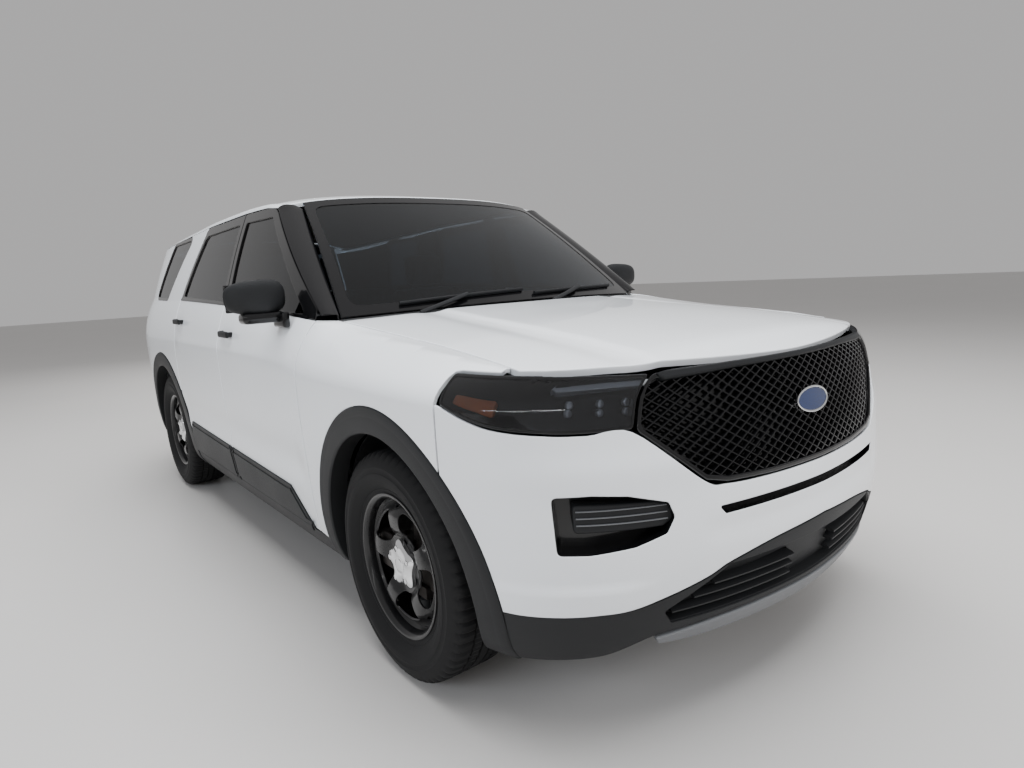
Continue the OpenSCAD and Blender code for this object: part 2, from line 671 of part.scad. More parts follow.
// One wheel arch's cladding: a band following the skin and a lip turned inwards.
module arch_ring(y) {
    face = function (r, a, out)
        let (py = y - r * cos(a), pz = arch_z + r * sin(a)) [skin_x(py, pz) + out, py, pz];
    a0 = asin((arch_z - sill_z - 6) / arch_out);
    loft([for (i = [0:28])
        let (a = lerp(-a0, 180 + a0, i / 28)) [
            face(arch_out, a, 4), face(arch_r, a, 4), face(arch_r, a, -66),
            face(arch_r + 5, a, -66), face(arch_r + 6, a, -12), face(arch_out, a, -12)
        ]]);
}
module arch_cladding() {
    color(trim) both_sides() {
        arch_ring(axle_f);
        arch_ring(axle_r);
    }
}
module rocker_cladding() {
    f = function (u, v)
        band(lerp(axle_f + arch_out - 120, axle_r - arch_out + 120, u), lerp(sill_z, door_z - 6, v));
    color(trim) both_sides() one_skin() difference() {
        panel(f, 24, 3, 16, 0, 0);
        both_arches(arch_out + 1.5);
    }
}

// ---- Back of the body ----
rear_ends = [0, 300, 520, 700, 800];
function tail_rail(z, end) = concat([for (x = rear_ends) on_tail(x, z)], [[rear_y - 300, z], [end, z]]);
module rear_bumper() {
    color(paint) one_skin() difference() {
        panel(across(tail_rail(456, axle_r + arch_out - 60), tail_rail(rear_bumper_z, axle_r + arch_out - 90)),
            36, 3, skin_t, 0, 0.01, side = -1);
        both_sides() arch_bar(axle_r, arch_out + 1.5);
    }
}
module rear_valance() {
    color(trim) one_skin() difference() {
        panel(across(tail_rail(300, axle_r + arch_out - 10), tail_rail(453, axle_r + arch_out - 30)),
            36, 2, skin_t + 2, 0, 0.01, side = -1);
        both_sides() arch_bar(axle_r, arch_out + 1.5);
    }
}
module tail_lights() {
    color([0.6, 0.05, 0.05, 0.9]) both_sides() one_skin() panel(
        between(
            [[gate_s(940, gap + 2), 943], [rear_y - 300, 955], [rear_y - 446, 1036]],
            [[gate_s(1145, gap + 2), 1145], [rear_y - 300, 1143], [rear_y - 432, 1125]]),
        8, 2, 64, 0, 0, side = -1);
}
gate_face = function (u, v)
    let (
        c = 2 * u - 1, xt = c * gate_x(rail_z - 20), yt = tail_at(xt, rail_z - 40),
        z = lerp(rear_bumper_z + gap, roof_z(xt, yt) - 14, v), x = c * gate_x(z)
    ) [x, tail_at(x, z), z];
spoiler_face = function (u, v)
    let (c = 2 * u - 1, y = lerp(gate_y + gap + 2, rear_y - 190 - 40 * c * c, v), x = c * lerp(644, 630, v))
    [x, y, roof_z(x, y)];
rear_window_cut = [
    [-636, belt_rear_z + 14], [-590, rail_z - 96], [-560, rail_z - 78], [560, rail_z - 78],
    [590, rail_z - 96], [636, belt_rear_z + 14], [600, belt_rear_z + 2], [-600, belt_rear_z + 2]
];
module liftgate() {
    color(paint) one_skin() difference() {
        union() {
            panel(gate_face, 16, 10, 62, 0.01, 0.006, side = -1);
            panel(spoiler_face, 12, 3, 30, 0.01, 0.02);
        }
        front_prism(rear_window_cut, gate_y - 100, rear_y + 20);
    }
}
module liftgate_glass() {
    color(tint) one_skin() intersection() {
        panel(gate_face, 14, 10, glass_t, 0, 0, side = -1, sink = glass_set);
        translate([0, 0, belt_rear_z + 200])
            scale([0.998, 1, 0.995])
                translate([0, 0, -belt_rear_z - 200])
                    front_prism(rear_window_cut, gate_y - 100, rear_y + 20);
    }
}
plate_z = 880;
plate_y = tail_y(plate_z) + 6;
module plate_bracket() {
    color(trim) difference() {
        block([-156, plate_y, plate_z - 79], [156, plate_y + 5, plate_z + 79]);
        for (sx = [-1, 1], sz = [-1, 1])
            translate([sx * plate_dx / 2, plate_y - 1, plate_z + sz * plate_dz / 2])
                rotate([-90, 0, 0]) cylinder(r = plate_hole_r, h = 8, $fn = 32);
    }
}

// ---- Glass at the front, wipers, cowl ----
module windshield() {
    color(tint) one_skin() panel(shield_at, 14, 8, glass_t, 0, 0);
}
module wipers() {
    color(trim) for (w = [[0.14, 0.50], [0.54, 0.92]])
        bar([for (i = [0:3]) shield_at(lerp(w[0], w[1], i / 3), 0.045 + 0.012 * i) + [0, -14, 16]], 12);
}
module firewall() {
    color([0.2, 0.2, 0.22]) {
        block([-768, axle_f + arch_out - 73, sill_z + 30], [768, door_y0 - 112, cowl_z - 96]);
        loft([for (i = [-10:10])
            let (
                x = i * 83, c = x / 815, h = abs(x) / 836,
                y0 = door_y0 - 232 + 120 * h * h + gap, y1 = glass_base[1] - 139 * (1 - c * c) - 6,
                z0 = hood_z(x, y0) - 5, z1 = cowl_z - 10 - 17 * c * c
            ) [[x, y0, z0], [x, y1, z1], [x, y1, z1 - 24], [x, y0, z0 - 26]]], flip = true);
    }
}

// ---- Floor, cabin and machinery ----
rear_floor_z = 540;
module floor_pan() {
    color([0.15, 0.15, 0.16]) difference() {
        union() {
            block([-760, door_y0 - 96, sill_z + 30], [760, door_y1 + 560, sill_z + 58]);
            block([-140, door_y0 - 96, sill_z + 57], [140, door_y1 + 561, sill_z + 190]);
            block([-680, door_y1 + 560, sill_z + 30], [680, door_y1 + 588, 459]);
            block([-680, door_y1 + 560, 431], [680, axle_r - 400, 459]);
            block([-680, axle_r - 400, 431], [680, axle_r - 372, rear_floor_z + 28]);
            block([-680, axle_r - 400, rear_floor_z], [680, rear_y - 170, rear_floor_z + 28]);
        }
        block([-120, door_y0 - 200, sill_z], [120, door_y1 + 559, sill_z + 170]);
    }
}
wheel_at = [370, door_y0 + 350, 985];
wheel_tilt = 25;
module column_place() {
    translate(wheel_at) rotate([90 + wheel_tilt, 0, 0]) children();
}
module dashboard() {
    color([0.12, 0.12, 0.13]) difference() {
        union() {
            translate([-745, 0, 0]) rotate([90, 0, 90]) linear_extrude(1490) polygon([
                [door_y0 - 104, 640], [door_y0 - 104, cowl_z - 70], [door_y0 + 40, cowl_z - 62],
                [door_y0 + 220, cowl_z - 120], [door_y0 + 250, 960], [door_y0 + 180, 720]
            ]);
            block([-120, door_y0 - 60, sill_z + 192], [120, door_y0 + 420, 640]);
            block([-120, door_y0 - 60, 639], [120, door_y0 + 170, 660]);
        }
        column_place() cylinder(r = 24, h = 420, $fn = 48);
    }
}
module steering_wheel() {
    color(trim) column_place() {
        rotate_extrude($fn = 96) translate([178, 0]) circle(r = 15, $fn = 32);
        translate([0, 0, -6]) cylinder(r = 62, h = 44, $fn = 48);
        for (a = [0, 180, 270]) rotate([0, 0, a]) block([50, -17, -4], [172, 17, 8]);
        translate([0, 0, 30]) cylinder(r = 18, h = 330, $fn = 48);
    }
}
module cushion(x0, x1, y0, y1, z0, z1, lean, w = 30) {
    hull() {
        for (x = [x0 + w, x1 - w], y = [y0 + w, y1 - w]) {
            translate([x, y, z0 + w]) sphere(r = w, $fn = 12);
            translate([x, y + lean, z1 - w]) sphere(r = w, $fn = 12);
        }
    }
}
module front_seats() {
    color([0.17, 0.17, 0.19]) for (x = [-1, 1] * 370) {
        cushion(x - 250, x + 250, door_y0 + 560, door_y0 + 1040, 420, 640, 0, 45);
        cushion(x - 240, x + 240, door_y0 + 1050, door_y0 + 1180, 560, 1240, 150, 45);
        cushion(x - 130, x + 130, door_y0 + 1235, door_y0 + 1330, 1262, 1450, 15, 40);
        block([x - 220, door_y0 + 600, 300], [x + 220, door_y0 + 1020, 415]);
    }
}
module rear_seat() {
    color([0.17, 0.17, 0.19]) {
        cushion(-640, 640, door_y1 + 520, axle_r - 420, 468, 660, 0, 45);
        cushion(-640, 640, axle_r - 360, axle_r - 240, 580, 1250, 130, 45);
    }
}
module engine() {
    color([0.35, 0.35, 0.37]) block([-270, axle_f - 480, 330], [270, axle_f + 330, 960]);
}
module radiator() {
    color([0.1, 0.1, 0.1]) block([-390, nose_y(700) + 190, 350], [390, nose_y(700) + 250, 960]);
}
module fuel_tank() {
    color([0.2, 0.2, 0.2]) hull() {
        block([-620, door_y1 + 640, 225], [60, axle_r - 440, 400]);
        block([-600, door_y1 + 620, 245], [40, axle_r - 420, 420]);
    }
}
module exhaust() {
    color([0.6, 0.6, 0.62]) {
        translate([240, door_y0 - 80, 205]) rotate([-90, 0, 0])
            cylinder(r = 30, h = axle_r - door_y0 + 760, $fn = 48);
        block([-380, axle_r + 685, 180], [380, axle_r + 880, 330]);
        both_sides() translate([300, axle_r + 881, 230]) rotate([-90, 0, 0])
            cylinder(r = 34, h = 60, $fn = 48);
    }
}

// ---- Wheels, brakes and suspension ----
king_z = axle_z - 145;                 // top of the lower arm's eye
king_r = 10;
spindle_r = 29.5;
hub_r = spindle_r + 0.5;
disc_r = 165;
// Stands a wheel part at an axle on the left; its local z then points outwards.
module at_hub(y) {
    translate([wheel_x, y, axle_z]) rotate([0, 90, 0]) children();
}
module liner(y, x0) {
    difference() {
        arch_bar(y, arch_r + 11, x0, 900);
        arch_bar(y, arch_r + 6, x0 + 6, 930);
        block([300, y - 600, -100], [1200, y + 600, 330]);
    }
}
module wheel_liners() {
    color([0.09, 0.09, 0.09]) both_sides() {
        liner(axle_f, 505);
        liner(axle_r, 692);
    }
}
module carrier() {
    at_hub(0) {
        translate([0, 0, -60]) cylinder(r = spindle_r, h = 105, $fn = 64);
        block([-110, -55, -62], [110, 55, -2]);
    }
    // brake caliper round the disc
    difference() {
        block([wheel_x + 4, 105, axle_z - 62], [wheel_x + 56, 188, axle_z + 62]);
        at_hub(0) translate([0, 0, 24]) cylinder(r = disc_r + 4, h = 26, $fn = 96);
    }
    block([wheel_x - 40, 50, axle_z - 45], [wheel_x + 12, 150, axle_z + 45]);
}
module knuckle(left) {
    color([0.3, 0.3, 0.31]) side_of(left) translate([0, axle_f, 0]) {
        carrier();
        block([wheel_x - 30, -26, king_z + 5], [wheel_x + 14, 26, axle_z - 100]);
        translate([wheel_x, 0, king_z - 34]) cylinder(r = king_r, h = 60, $fn = 48);
    }
}
module knuckle_left() {
    knuckle(true);
}
module knuckle_right() {
    knuckle(false);
}
module front_suspension() {
    color([0.22, 0.22, 0.23]) {
        block([-500, axle_f - 60, 235], [500, axle_f + 60, 320]);
        both_sides() {
            block([400, axle_f - 720, 470], [480, axle_f + 440, 600]);
            difference() {
                union() {
                    block([510, axle_f - 28, king_z - 26], [wheel_x, axle_f + 28, king_z]);
                    translate([wheel_x, axle_f, king_z - 26]) cylinder(r = 22, h = 26, $fn = 48);
                    translate([580, axle_f, king_z - 6]) cylinder(r = 22, h = 200, $fn = 48);
                    translate([580, axle_f, 400]) cylinder(r = 42, h = 410, $fn = 48);
                }
                translate([wheel_x, axle_f, king_z - 40]) cylinder(r = king_r + 0.5, h = 60, $fn = 48);
            }
        }
    }
}
module rear_suspension() {
    color([0.22, 0.22, 0.23]) {
        block([-500, axle_r - 80, 262], [500, axle_r + 80, 345]);
        both_sides() {
            translate([0, axle_r, 0]) carrier();
            block([510, axle_r - 35, 270], [wheel_x - 55, axle_r + 35, 310]);
            translate([600, axle_r, 315]) cylinder(r = 50, h = 215, $fn = 48);
        }
    }
}
module wheel() {
    half = rim_w / 2;
    seat = rim_d / 2 - 0.5;
    difference() {
        union() {
            rotate_extrude($fn = 128) polygon([
                [seat - 14, -half], [seat + 12, -half], [seat + 12, -half + 6], [seat, -half + 6],
                [seat, -half + 40], [seat - 12, -half + 60], [seat - 12, half - 60],
                [seat, half - 40], [seat, half - 6], [seat + 12, half - 6], [seat + 12, half],
                [seat - 10, half], [seat - 14, half - 26], [190, half - 24], [150, half - 30],
                [110, half - 34], [76, half - 38], [44, half - 34], [40, half - 16], [0, half - 16],
                [0, 47], [34, 47], [34, 30], [disc_r, 30], [disc_r, 46], [72, 46], [72, half - 46],
                [110, half - 42], [150, half - 38], [190, half - 32], [seat - 24, half - 36],
                [seat - 22, half - 66], [seat - 22, -half + 50], [seat - 14, -half + 36]
            ]);
        }
        for (a = [0:72:288]) rotate([0, 0, a]) hull() {
            for (b = [-20, 20]) rotate([0, 0, b]) translate([170, 0, half - 48])
                cylinder(r = 14, h = 40, $fn = 32);
            for (b = [-14, 14]) rotate([0, 0, b]) translate([122, 0, half - 48])
                cylinder(r = 10, h = 40, $fn = 32);
        }
        translate([0, 0, 20]) cylinder(r = hub_r, h = 30, $fn = 64);
    }
}
module tyre() {
    r = tyre_d / 2;
    b = rim_d / 2;
    w = tyre_w / 2;
    h = rim_w / 2 - 7;
    rotate_extrude($fn = 160) polygon([
        [b, -h], [b + 22, -h - 1], [b + 52, -w + 4], [b + 76, -w], [b + 104, -w + 4],
        [r - 26, -w + 10], [r - 8, -w + 22], [r - 1, -w + 42], [r, 0], [r - 1, w - 42],
        [r - 8, w - 22], [r - 26, w - 10], [b + 104, w - 4], [b + 76, w], [b + 52, w - 4],
        [b + 22, h + 1], [b, h], [b, h - 16], [b + 40, h - 4], [b + 76, w - 12],
        [r - 30, w - 22], [r - 14, w - 46], [r - 12, 0], [r - 14, -w + 46],
        [r - 30, -w + 22], [b + 76, -w + 12], [b + 40, -h + 4], [b, -h + 16]
    ]);
}
module wheel_at_side(left, y) {
    color([0.08, 0.08, 0.08]) side_of(left) at_hub(y) wheel();
}
module tyre_at_side(left, y) {
    color([0.05, 0.05, 0.05]) side_of(left) at_hub(y) tyre();
}
module front_wheel_left() {
    wheel_at_side(true, axle_f);
}
module front_wheel_right() {
    wheel_at_side(false, axle_f);
}
module rear_wheel_left() {
    wheel_at_side(true, axle_r);
}
module rear_wheel_right() {
    wheel_at_side(false, axle_r);
}
module front_tyre_left() {
    tyre_at_side(true, axle_f);
}
module front_tyre_right() {
    tyre_at_side(false, axle_f);
}
module rear_tyre_left() {
    tyre_at_side(true, axle_r);
}
module rear_tyre_right() {
    tyre_at_side(false, axle_r);
}

// ---- Mirrors ----
mirror_at = [1040, door_y0 + 222, belt_front_z + 100];
module mirror_unit() {
    foot_x = skin_x(door_y0 + 250, belt_front_z - 24) + 3;
    union() {
        hull() for (x = [-78, 78], z = [-52, 52]) translate(mirror_at + [x, 0, z])
            scale([1, 1.5, 1]) sphere(r = 32, $fn = 16);
        hull() {
            block([foot_x, door_y0 + 150, belt_front_z - 24], [foot_x + 12, door_y0 + 250, belt_front_z + 14]);
            translate(mirror_at + [-40, 0, -70]) cube([60, 50, 20], center = true);
        }
    }
}
module mirror_left() {
    color(trim) mirror_unit();
}
module mirror_right() {
    color(trim) side_of(false) mirror_unit();
}

floor_pan();
firewall();
roof();
side_frames();
quarter_left();
quarter_right();
fenders();
front_bumper();
front_valance();
skid_plate();
grilles();
headlights();
arch_cladding();
rocker_cladding();
rear_bumper();
rear_valance();
tail_lights();
windshield();
quarter_glass();
wipers();
dashboard();
front_seats();
rear_seat();
engine();
radiator();
front_suspension();
rear_suspension();
exhaust();
fuel_tank();
wheel_liners();
hood();
liftgate();
liftgate_glass();
plate_bracket();
fuel_door();
front_door_left();
front_door_right();
rear_door_left();
rear_door_right();
front_door_glass_left();
front_door_glass_right();
rear_door_glass_left();
rear_door_glass_right();
mirror_left();
mirror_right();
steering_wheel();
knuckle_left();
knuckle_right();
front_wheel_left();
front_wheel_right();
rear_wheel_left();
rear_wheel_right();
front_tyre_left();
front_tyre_right();
rear_tyre_left();
rear_tyre_right();
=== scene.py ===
"""Visual finish of the patrol car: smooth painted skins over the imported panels, glass,
lamps, wheels, tyres, cladding, cabin trim, studio and camera."""

import math

import bmesh
import bpy
import numpy as np
from bpy.props import FloatProperty, FloatVectorProperty, IntProperty, PointerProperty
from mathutils import Matrix, Vector


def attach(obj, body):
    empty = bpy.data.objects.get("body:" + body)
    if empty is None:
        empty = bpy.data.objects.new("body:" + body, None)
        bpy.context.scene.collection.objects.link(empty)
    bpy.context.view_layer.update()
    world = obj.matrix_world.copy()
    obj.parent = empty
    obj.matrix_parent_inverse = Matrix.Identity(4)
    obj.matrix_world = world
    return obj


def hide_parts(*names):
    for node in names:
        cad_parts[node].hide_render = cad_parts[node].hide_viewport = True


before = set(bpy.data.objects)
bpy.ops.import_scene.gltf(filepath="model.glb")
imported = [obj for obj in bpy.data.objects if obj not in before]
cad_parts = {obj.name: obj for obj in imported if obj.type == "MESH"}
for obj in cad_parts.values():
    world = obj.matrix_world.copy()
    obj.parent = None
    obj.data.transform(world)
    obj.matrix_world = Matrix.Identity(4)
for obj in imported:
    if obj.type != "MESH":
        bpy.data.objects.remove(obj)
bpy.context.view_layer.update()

bl_info = {
    "name": "Patrol car looks",
    "version": (1, 0, 0),
    "blender": (4, 5, 0),
    "location": "View3D > Sidebar > Patrol car",
    "description": "Builds the visual pieces of the patrol car over its packed frame",
    "category": "Object",
}

MM = 0.001

# ---- Driving sizes in millimetres, the same as the frame's ----
BODY_L = 5050.0
BODY_W = 2004.0
BODY_H = 1755.0
FRONT_Y = -BODY_L / 2
REAR_Y = BODY_L / 2
AXLE_F = FRONT_Y + 925
AXLE_R = AXLE_F + 3025
TYRE_D = 763.0
TYRE_W = 250.0
RIM_D = 457.0
RIM_W = 205.0
AXLE_Z = TYRE_D / 2
WHEEL_X = 850.0
ARCH_R = AXLE_Z + 54
ARCH_OUT = ARCH_R + 88
ARCH_Z = AXLE_Z + 10
SILL_Z = 232.0
DOOR_Z = 335.0
SHOULDER_Z = 950.0
BELT_F = 1162.0
BELT_R = 1252.0
RAIL_Z = BODY_H - 88
COWL_Z = 1186.0
REAR_BUMPER_Z = 702.0
DOOR_Y0 = AXLE_F + 600
DOOR_Y1 = DOOR_Y0 + 1040
DOOR_Y2 = AXLE_R - 440
GATE_Y = REAR_Y - 440
GAP = 6.0
SIDE_F = AXLE_F + 100
SIDE_R = AXLE_R - 25
WRAP_F = -3400.0
WRAP_R = 3250.0
HALF_W = BODY_W / 2
GLASS_BASE = (815.0, DOOR_Y0 - 46, BELT_F + 1)
GLASS_TOP = (659.0, DOOR_Y0 + 611, RAIL_Z - 6)

WAIST = [(SILL_Z - 30, 0.885), (SILL_Z + 60, 0.945), (SILL_Z + 190, 0.972),
         (600, 0.986), (800, 0.997), (SHOULDER_Z, 1)]
EDGE = [(FRONT_Y + 85, 1028), (FRONT_Y + 425, 1052), (AXLE_F - 300, 1074), (AXLE_F, 1100),
        (DOOR_Y0 - 200, BELT_F - 28), (DOOR_Y0, BELT_F),
        (DOOR_Y0 + 400, BELT_F + 0.36 * (BELT_R - BELT_F)),
        (DOOR_Y1, BELT_F + 0.68 * (BELT_R - BELT_F)), (DOOR_Y2, BELT_R),
        (REAR_Y - 500, BELT_R + 16)]
TUCK = [(FRONT_Y + 425, 0.110), (AXLE_F, 0.148), (DOOR_Y0 - 200, 0.132), (DOOR_Y0, 0.104),
        (DOOR_Y0 + 400, 0.076), (DOOR_Y1, 0.066), (DOOR_Y2, 0.070), (REAR_Y - 500, 0.085)]
NOSE = [(200, 150), (260, 85), (330, 45), (450, 12), (560, 0), (700, 10), (850, 38),
        (1000, 74), (1045, 92)]
TAIL = [(200, 150), (300, 70), (450, 12), (560, 0), (690, 4), (760, 30), (950, 22), (1100, 30),
        (1200, 62), (1300, 112), (1500, 210), (RAIL_Z - 20, 285), (RAIL_Z + 60, 330)]
HEAD = [(DOOR_Y0 - 60, BELT_F - 8), (DOOR_Y0 + 612, RAIL_Z - 24), (DOOR_Y0 + 760, RAIL_Z - 8),
        (DOOR_Y1, RAIL_Z - 4), (DOOR_Y1 + 600, RAIL_Z - 14), (REAR_Y - 1500, RAIL_Z - 32),
        (REAR_Y - 1000, RAIL_Z - 52), (REAR_Y - 425, RAIL_Z - 84)]
ROOF_W = [(DOOR_Y0 + 510, 0.742), (DOOR_Y0 + 612, 0.764), (DOOR_Y0 + 1000, 0.785),
          (DOOR_Y0 + 1600, 0.786), (REAR_Y - 1300, 0.776), (REAR_Y - 700, 0.748),
          (REAR_Y - 425, 0.716), (REAR_Y - 185, 0.664)]
ROOF_LOW = [(DOOR_Y0 + 510, RAIL_Z - 40), (DOOR_Y0 + 612, RAIL_Z - 26), (DOOR_Y0 + 760, RAIL_Z - 9),
            (DOOR_Y1, RAIL_Z - 2), (DOOR_Y1 + 600, RAIL_Z - 12), (REAR_Y - 1500, RAIL_Z - 30),
            (REAR_Y - 1000, RAIL_Z - 51), (REAR_Y - 425, RAIL_Z - 83), (REAR_Y - 185, RAIL_Z - 106)]
ROOF_TOP = [(DOOR_Y0 + 515, BODY_H - 52), (DOOR_Y0 + 775, BODY_H - 14), (DOOR_Y0 + 1200, BODY_H - 2),
            (DOOR_Y0 + 1600, BODY_H), (REAR_Y - 1300, BODY_H - 13), (REAR_Y - 700, BODY_H - 47),
            (REAR_Y - 425, BODY_H - 66), (REAR_Y - 185, BODY_H - 80)]
HOOD_MID = [(FRONT_Y + 85, 1030), (FRONT_Y + 145, 1052), (FRONT_Y + 225, 1074),
            (FRONT_Y + 425, 1100), (FRONT_Y + 725, 1128), (FRONT_Y + 1025, 1150),
            (DOOR_Y0 - 170, COWL_Z - 8)]
HOOD_EDGE = [(FRONT_Y + 85, 985), (FRONT_Y + 215, 1018), (FRONT_Y + 400, 1048),
             (FRONT_Y + 725, 1083), (AXLE_F + 100, 1112), (DOOR_Y0 - 100, BELT_F - 4)]
GATE_W = [(REAR_BUMPER_Z, 742), (1180, 744), (1300, 716), (RAIL_Z - 20, 590)]


# ---- What a user would change ----
def length(name, description, default, low, high):
    return FloatProperty(name=name, description=description, default=default, min=low, max=high,
                         precision=4, subtype="DISTANCE", unit="LENGTH")


def tint(name, description, default):
    return FloatVectorProperty(name=name, description=description, default=default, size=3, min=0, max=1,
                               subtype="COLOR")


class CarSizes(bpy.types.PropertyGroup):
    """Sizes that can change without the frame."""

    lattice_width: length("Lattice width", "Width of a diamond of the grille lattice", 0.062, 0.03, 0.12)
    lattice_height: length("Lattice height", "Height of a diamond of the grille lattice", 0.027, 0.015, 0.06)
    lattice_bar: length("Lattice bar", "Width of a bar of the grille lattice", 0.007, 0.004, 0.012)
    tread_blocks: IntProperty(name="Tread blocks", description="Blocks of tread round a tyre", default=62,
                              min=30, max=90)
    cushion_swell: length("Cushion swell", "How far the seat padding may swell", 0.008, 0.0, 0.015)
    seam_depth: length("Seam depth", "Depth of the seats' sewn channels", 0.008, 0.0, 0.015)


class CarColours(bpy.types.PropertyGroup):
    """Colours of the finishes."""

    paint: tint("Paint", "Colour of the painted panels", (0.84, 0.86, 0.885))
    plastic: tint("Plastic", "Colour of the cladding and lower trim", (0.014, 0.0145, 0.0155))
    glass: tint("Glass", "What clear glass lets through at each face", (0.13, 0.17, 0.215))
    badge: tint("Badge", "Colour of the plain oval badge", (0.004, 0.018, 0.08))
    cloth: tint("Seat cloth", "Colour of the seat cloth", (0.05, 0.052, 0.057))
    floor: tint("Studio floor", "Colour of the floor under the car", (0.5, 0.485, 0.47))


def sizes():
    return bpy.context.scene.patrol_car_sizes


def colours():
    return bpy.context.scene.patrol_car_colours


# ---- The body's outer skin, by the same rules as the frame ----
def curve(rows, x):
    """Height of the smooth curve through the rows at x."""
    xs, ys = np.array(rows, float).T
    x = np.clip(np.asarray(x, float), xs[0], xs[-1])
    i = np.clip(np.searchsorted(xs, x, side="right") - 1, 0, len(xs) - 2)
    slope = np.empty(len(xs))
    slope[1:-1] = (ys[2:] - ys[:-2]) / (xs[2:] - xs[:-2])
    slope[0] = (ys[1] - ys[0]) / (xs[1] - xs[0])
    slope[-1] = (ys[-1] - ys[-2]) / (xs[-1] - xs[-2])
    h = xs[i + 1] - xs[i]
    t = (x - xs[i]) / h
    return ((2 * t**3 - 3 * t**2 + 1) * ys[i] + (t**3 - 2 * t**2 + t) * h * slope[i]
            + (3 * t**2 - 2 * t**3) * ys[i + 1] + (t**3 - t**2) * h * slope[i + 1])


def nose_y(z):
    return FRONT_Y + curve(NOSE, z)


def tail_y(z):
    return REAR_Y - curve(TAIL, z)


def edge_z(y):
    return curve(EDGE, y)


def head_z(y):
    xs, ys = np.array(HEAD, float).T
    return np.interp(y, xs, ys)


def wide(y, z):
    """Half width of the sides at a place along the car and a height, corners left out."""
    e = edge_z(y)
    k = curve(TUCK, y)
    h = z - e
    low = HALF_W * curve(WAIST, z)
    mid = HALF_W * (1 - k * ((z - SHOULDER_Z) / (e - SHOULDER_Z)) ** 2)
    top = HALF_W * (1 - k) - 0.27 * h - 0.00018 * h * h
    return np.where(z <= SHOULDER_Z, low, np.where(z <= e, mid, top))


def taper(t, m):
    return (1 - np.clip(t, 0, 1) ** 5) ** (1 / m)


def skin_x(y, z):
    nose = (SIDE_F - y) / (SIDE_F - nose_y(z))
    tail = (y - SIDE_R) / (tail_y(z) - SIDE_R)
    return wide(y, z) * taper(nose, 1.73) * taper(tail, 2.2)


def nose_at(x, z):
    w = wide(FRONT_Y + 425, z)
    d = SIDE_F - nose_y(z)
    return SIDE_F - d * (1 - np.clip(np.abs(x) / w, 0, 1) ** 1.73) ** 0.2


def tail_at(x, z):
    w = wide(REAR_Y - 500, z)
    d = tail_y(z) - SIDE_R
    return SIDE_R + d * (1 - np.clip(np.abs(x) / w, 0, 1) ** 2.2) ** 0.2


def turn_y(front, z):
    if front:
        return SIDE_F - 0.75 * (SIDE_F - nose_y(z))
    return SIDE_R + 0.80 * (tail_y(z) - SIDE_R)


def s_of_x(front, x, z):
    y = turn_y(front, z)
    end = WRAP_F if front else WRAP_R
    return y + (end - y) * np.clip(1 - x / skin_x(y, z), 0, 1)


def band(s, z):
    """Points of the band of skin round the left of the car, in millimetres."""
    s, z = np.broadcast_arrays(np.asarray(s, float), np.asarray(z, float))
    out = np.empty(s.shape + (3,))
    for front in (True, False):
        part = (s < 0) if front else (s >= 0)
        y = turn_y(front, z)
        end = WRAP_F if front else WRAP_R
        side = (s >= y) if front else (s <= y)
        x = skin_x(y, z) * (1 - (s - y) / (end - y))
        py = nose_at(x, z) if front else tail_at(x, z)
        x = np.where(side, skin_x(np.where(side, s, y), z), x)
        py = np.where(side, s, py)
        out[part] = np.stack([x, py, z], -1)[part]
    return out


def roof_z(x, y):
    lo, hi, w = curve(ROOF_LOW, y), curve(ROOF_TOP, y), HALF_W * curve(ROOF_W, y)
    return lo + (hi - lo) * (1 - np.clip(np.abs(x) / w, 0, 1) ** 2.6) ** 0.667


def ditch_x(y):
    return HALF_W * curve(ROOF_W, y) - 61


def hood_z(x, y):
    mid, edge = curve(HOOD_MID, y), curve(HOOD_EDGE, y)
    return mid + (edge - mid) * np.clip(np.abs(x) / 830, 0, 1) ** 2.6


HOOD_FRONT_X = 826.0
HOOD_CORNER_Y = float(nose_at(HOOD_FRONT_X, 1045.0))
HOOD_BACK_Y = DOOR_Y0 - 112


def hood_side(v, out=0.0):
    """The hood's side edge, v from 0 at its front corner to 1 at the windshield."""
    x = HOOD_FRONT_X + 10 * v - 24 * np.sin(np.pi * v) + out
    y = HOOD_CORNER_Y + v * (HOOD_BACK_Y - HOOD_CORNER_Y)
    return x, y, hood_z(x, y)


def gate_x(z):
    return curve(GATE_W, z)


def ease(t):
    """A soft step from 0 to 1."""
    t = np.clip(t, 0, 1)
    return t * t * (3 - 2 * t)


def ridge(x, at, width):
    """A soft ridge of height 1."""
    return np.exp(-(((x - at) / width) ** 2))


# ---- Surfaces as functions of two flat coordinates, giving points in millimetres ----
def side_skin(a, b):
    """a runs along the left side and round the corners, b is the height."""
    return band(a, b)


def nose_skin(a, b):
    """a is how far round from the middle of the nose, with its sign, b is the height."""
    p = band(WRAP_F + np.abs(a), b)
    p[..., 0] *= np.sign(a)
    return p


def tail_skin(a, b):
    p = band(WRAP_R - np.abs(a), b)
    p[..., 0] *= -np.sign(a)
    return p


def fender_skin(a, b):
    """The side up to its edge, then over the top towards the hood."""
    e = edge_z(a)
    p = band(a, np.minimum(b, e))
    along = np.clip((a - HOOD_CORNER_Y) / (HOOD_BACK_Y - HOOD_CORNER_Y), 0, 1)
    x = hood_side(along, 4.0)[0]
    y = a - 44 * along
    q = np.stack([x, y, hood_z(x, y)], -1)
    t = np.clip((b - e) / 60, 0, 1)[..., None]
    return p + (q - p) * t


def roof_skin(a, b):
    return np.stack([a, b, roof_z(a, b)], -1)


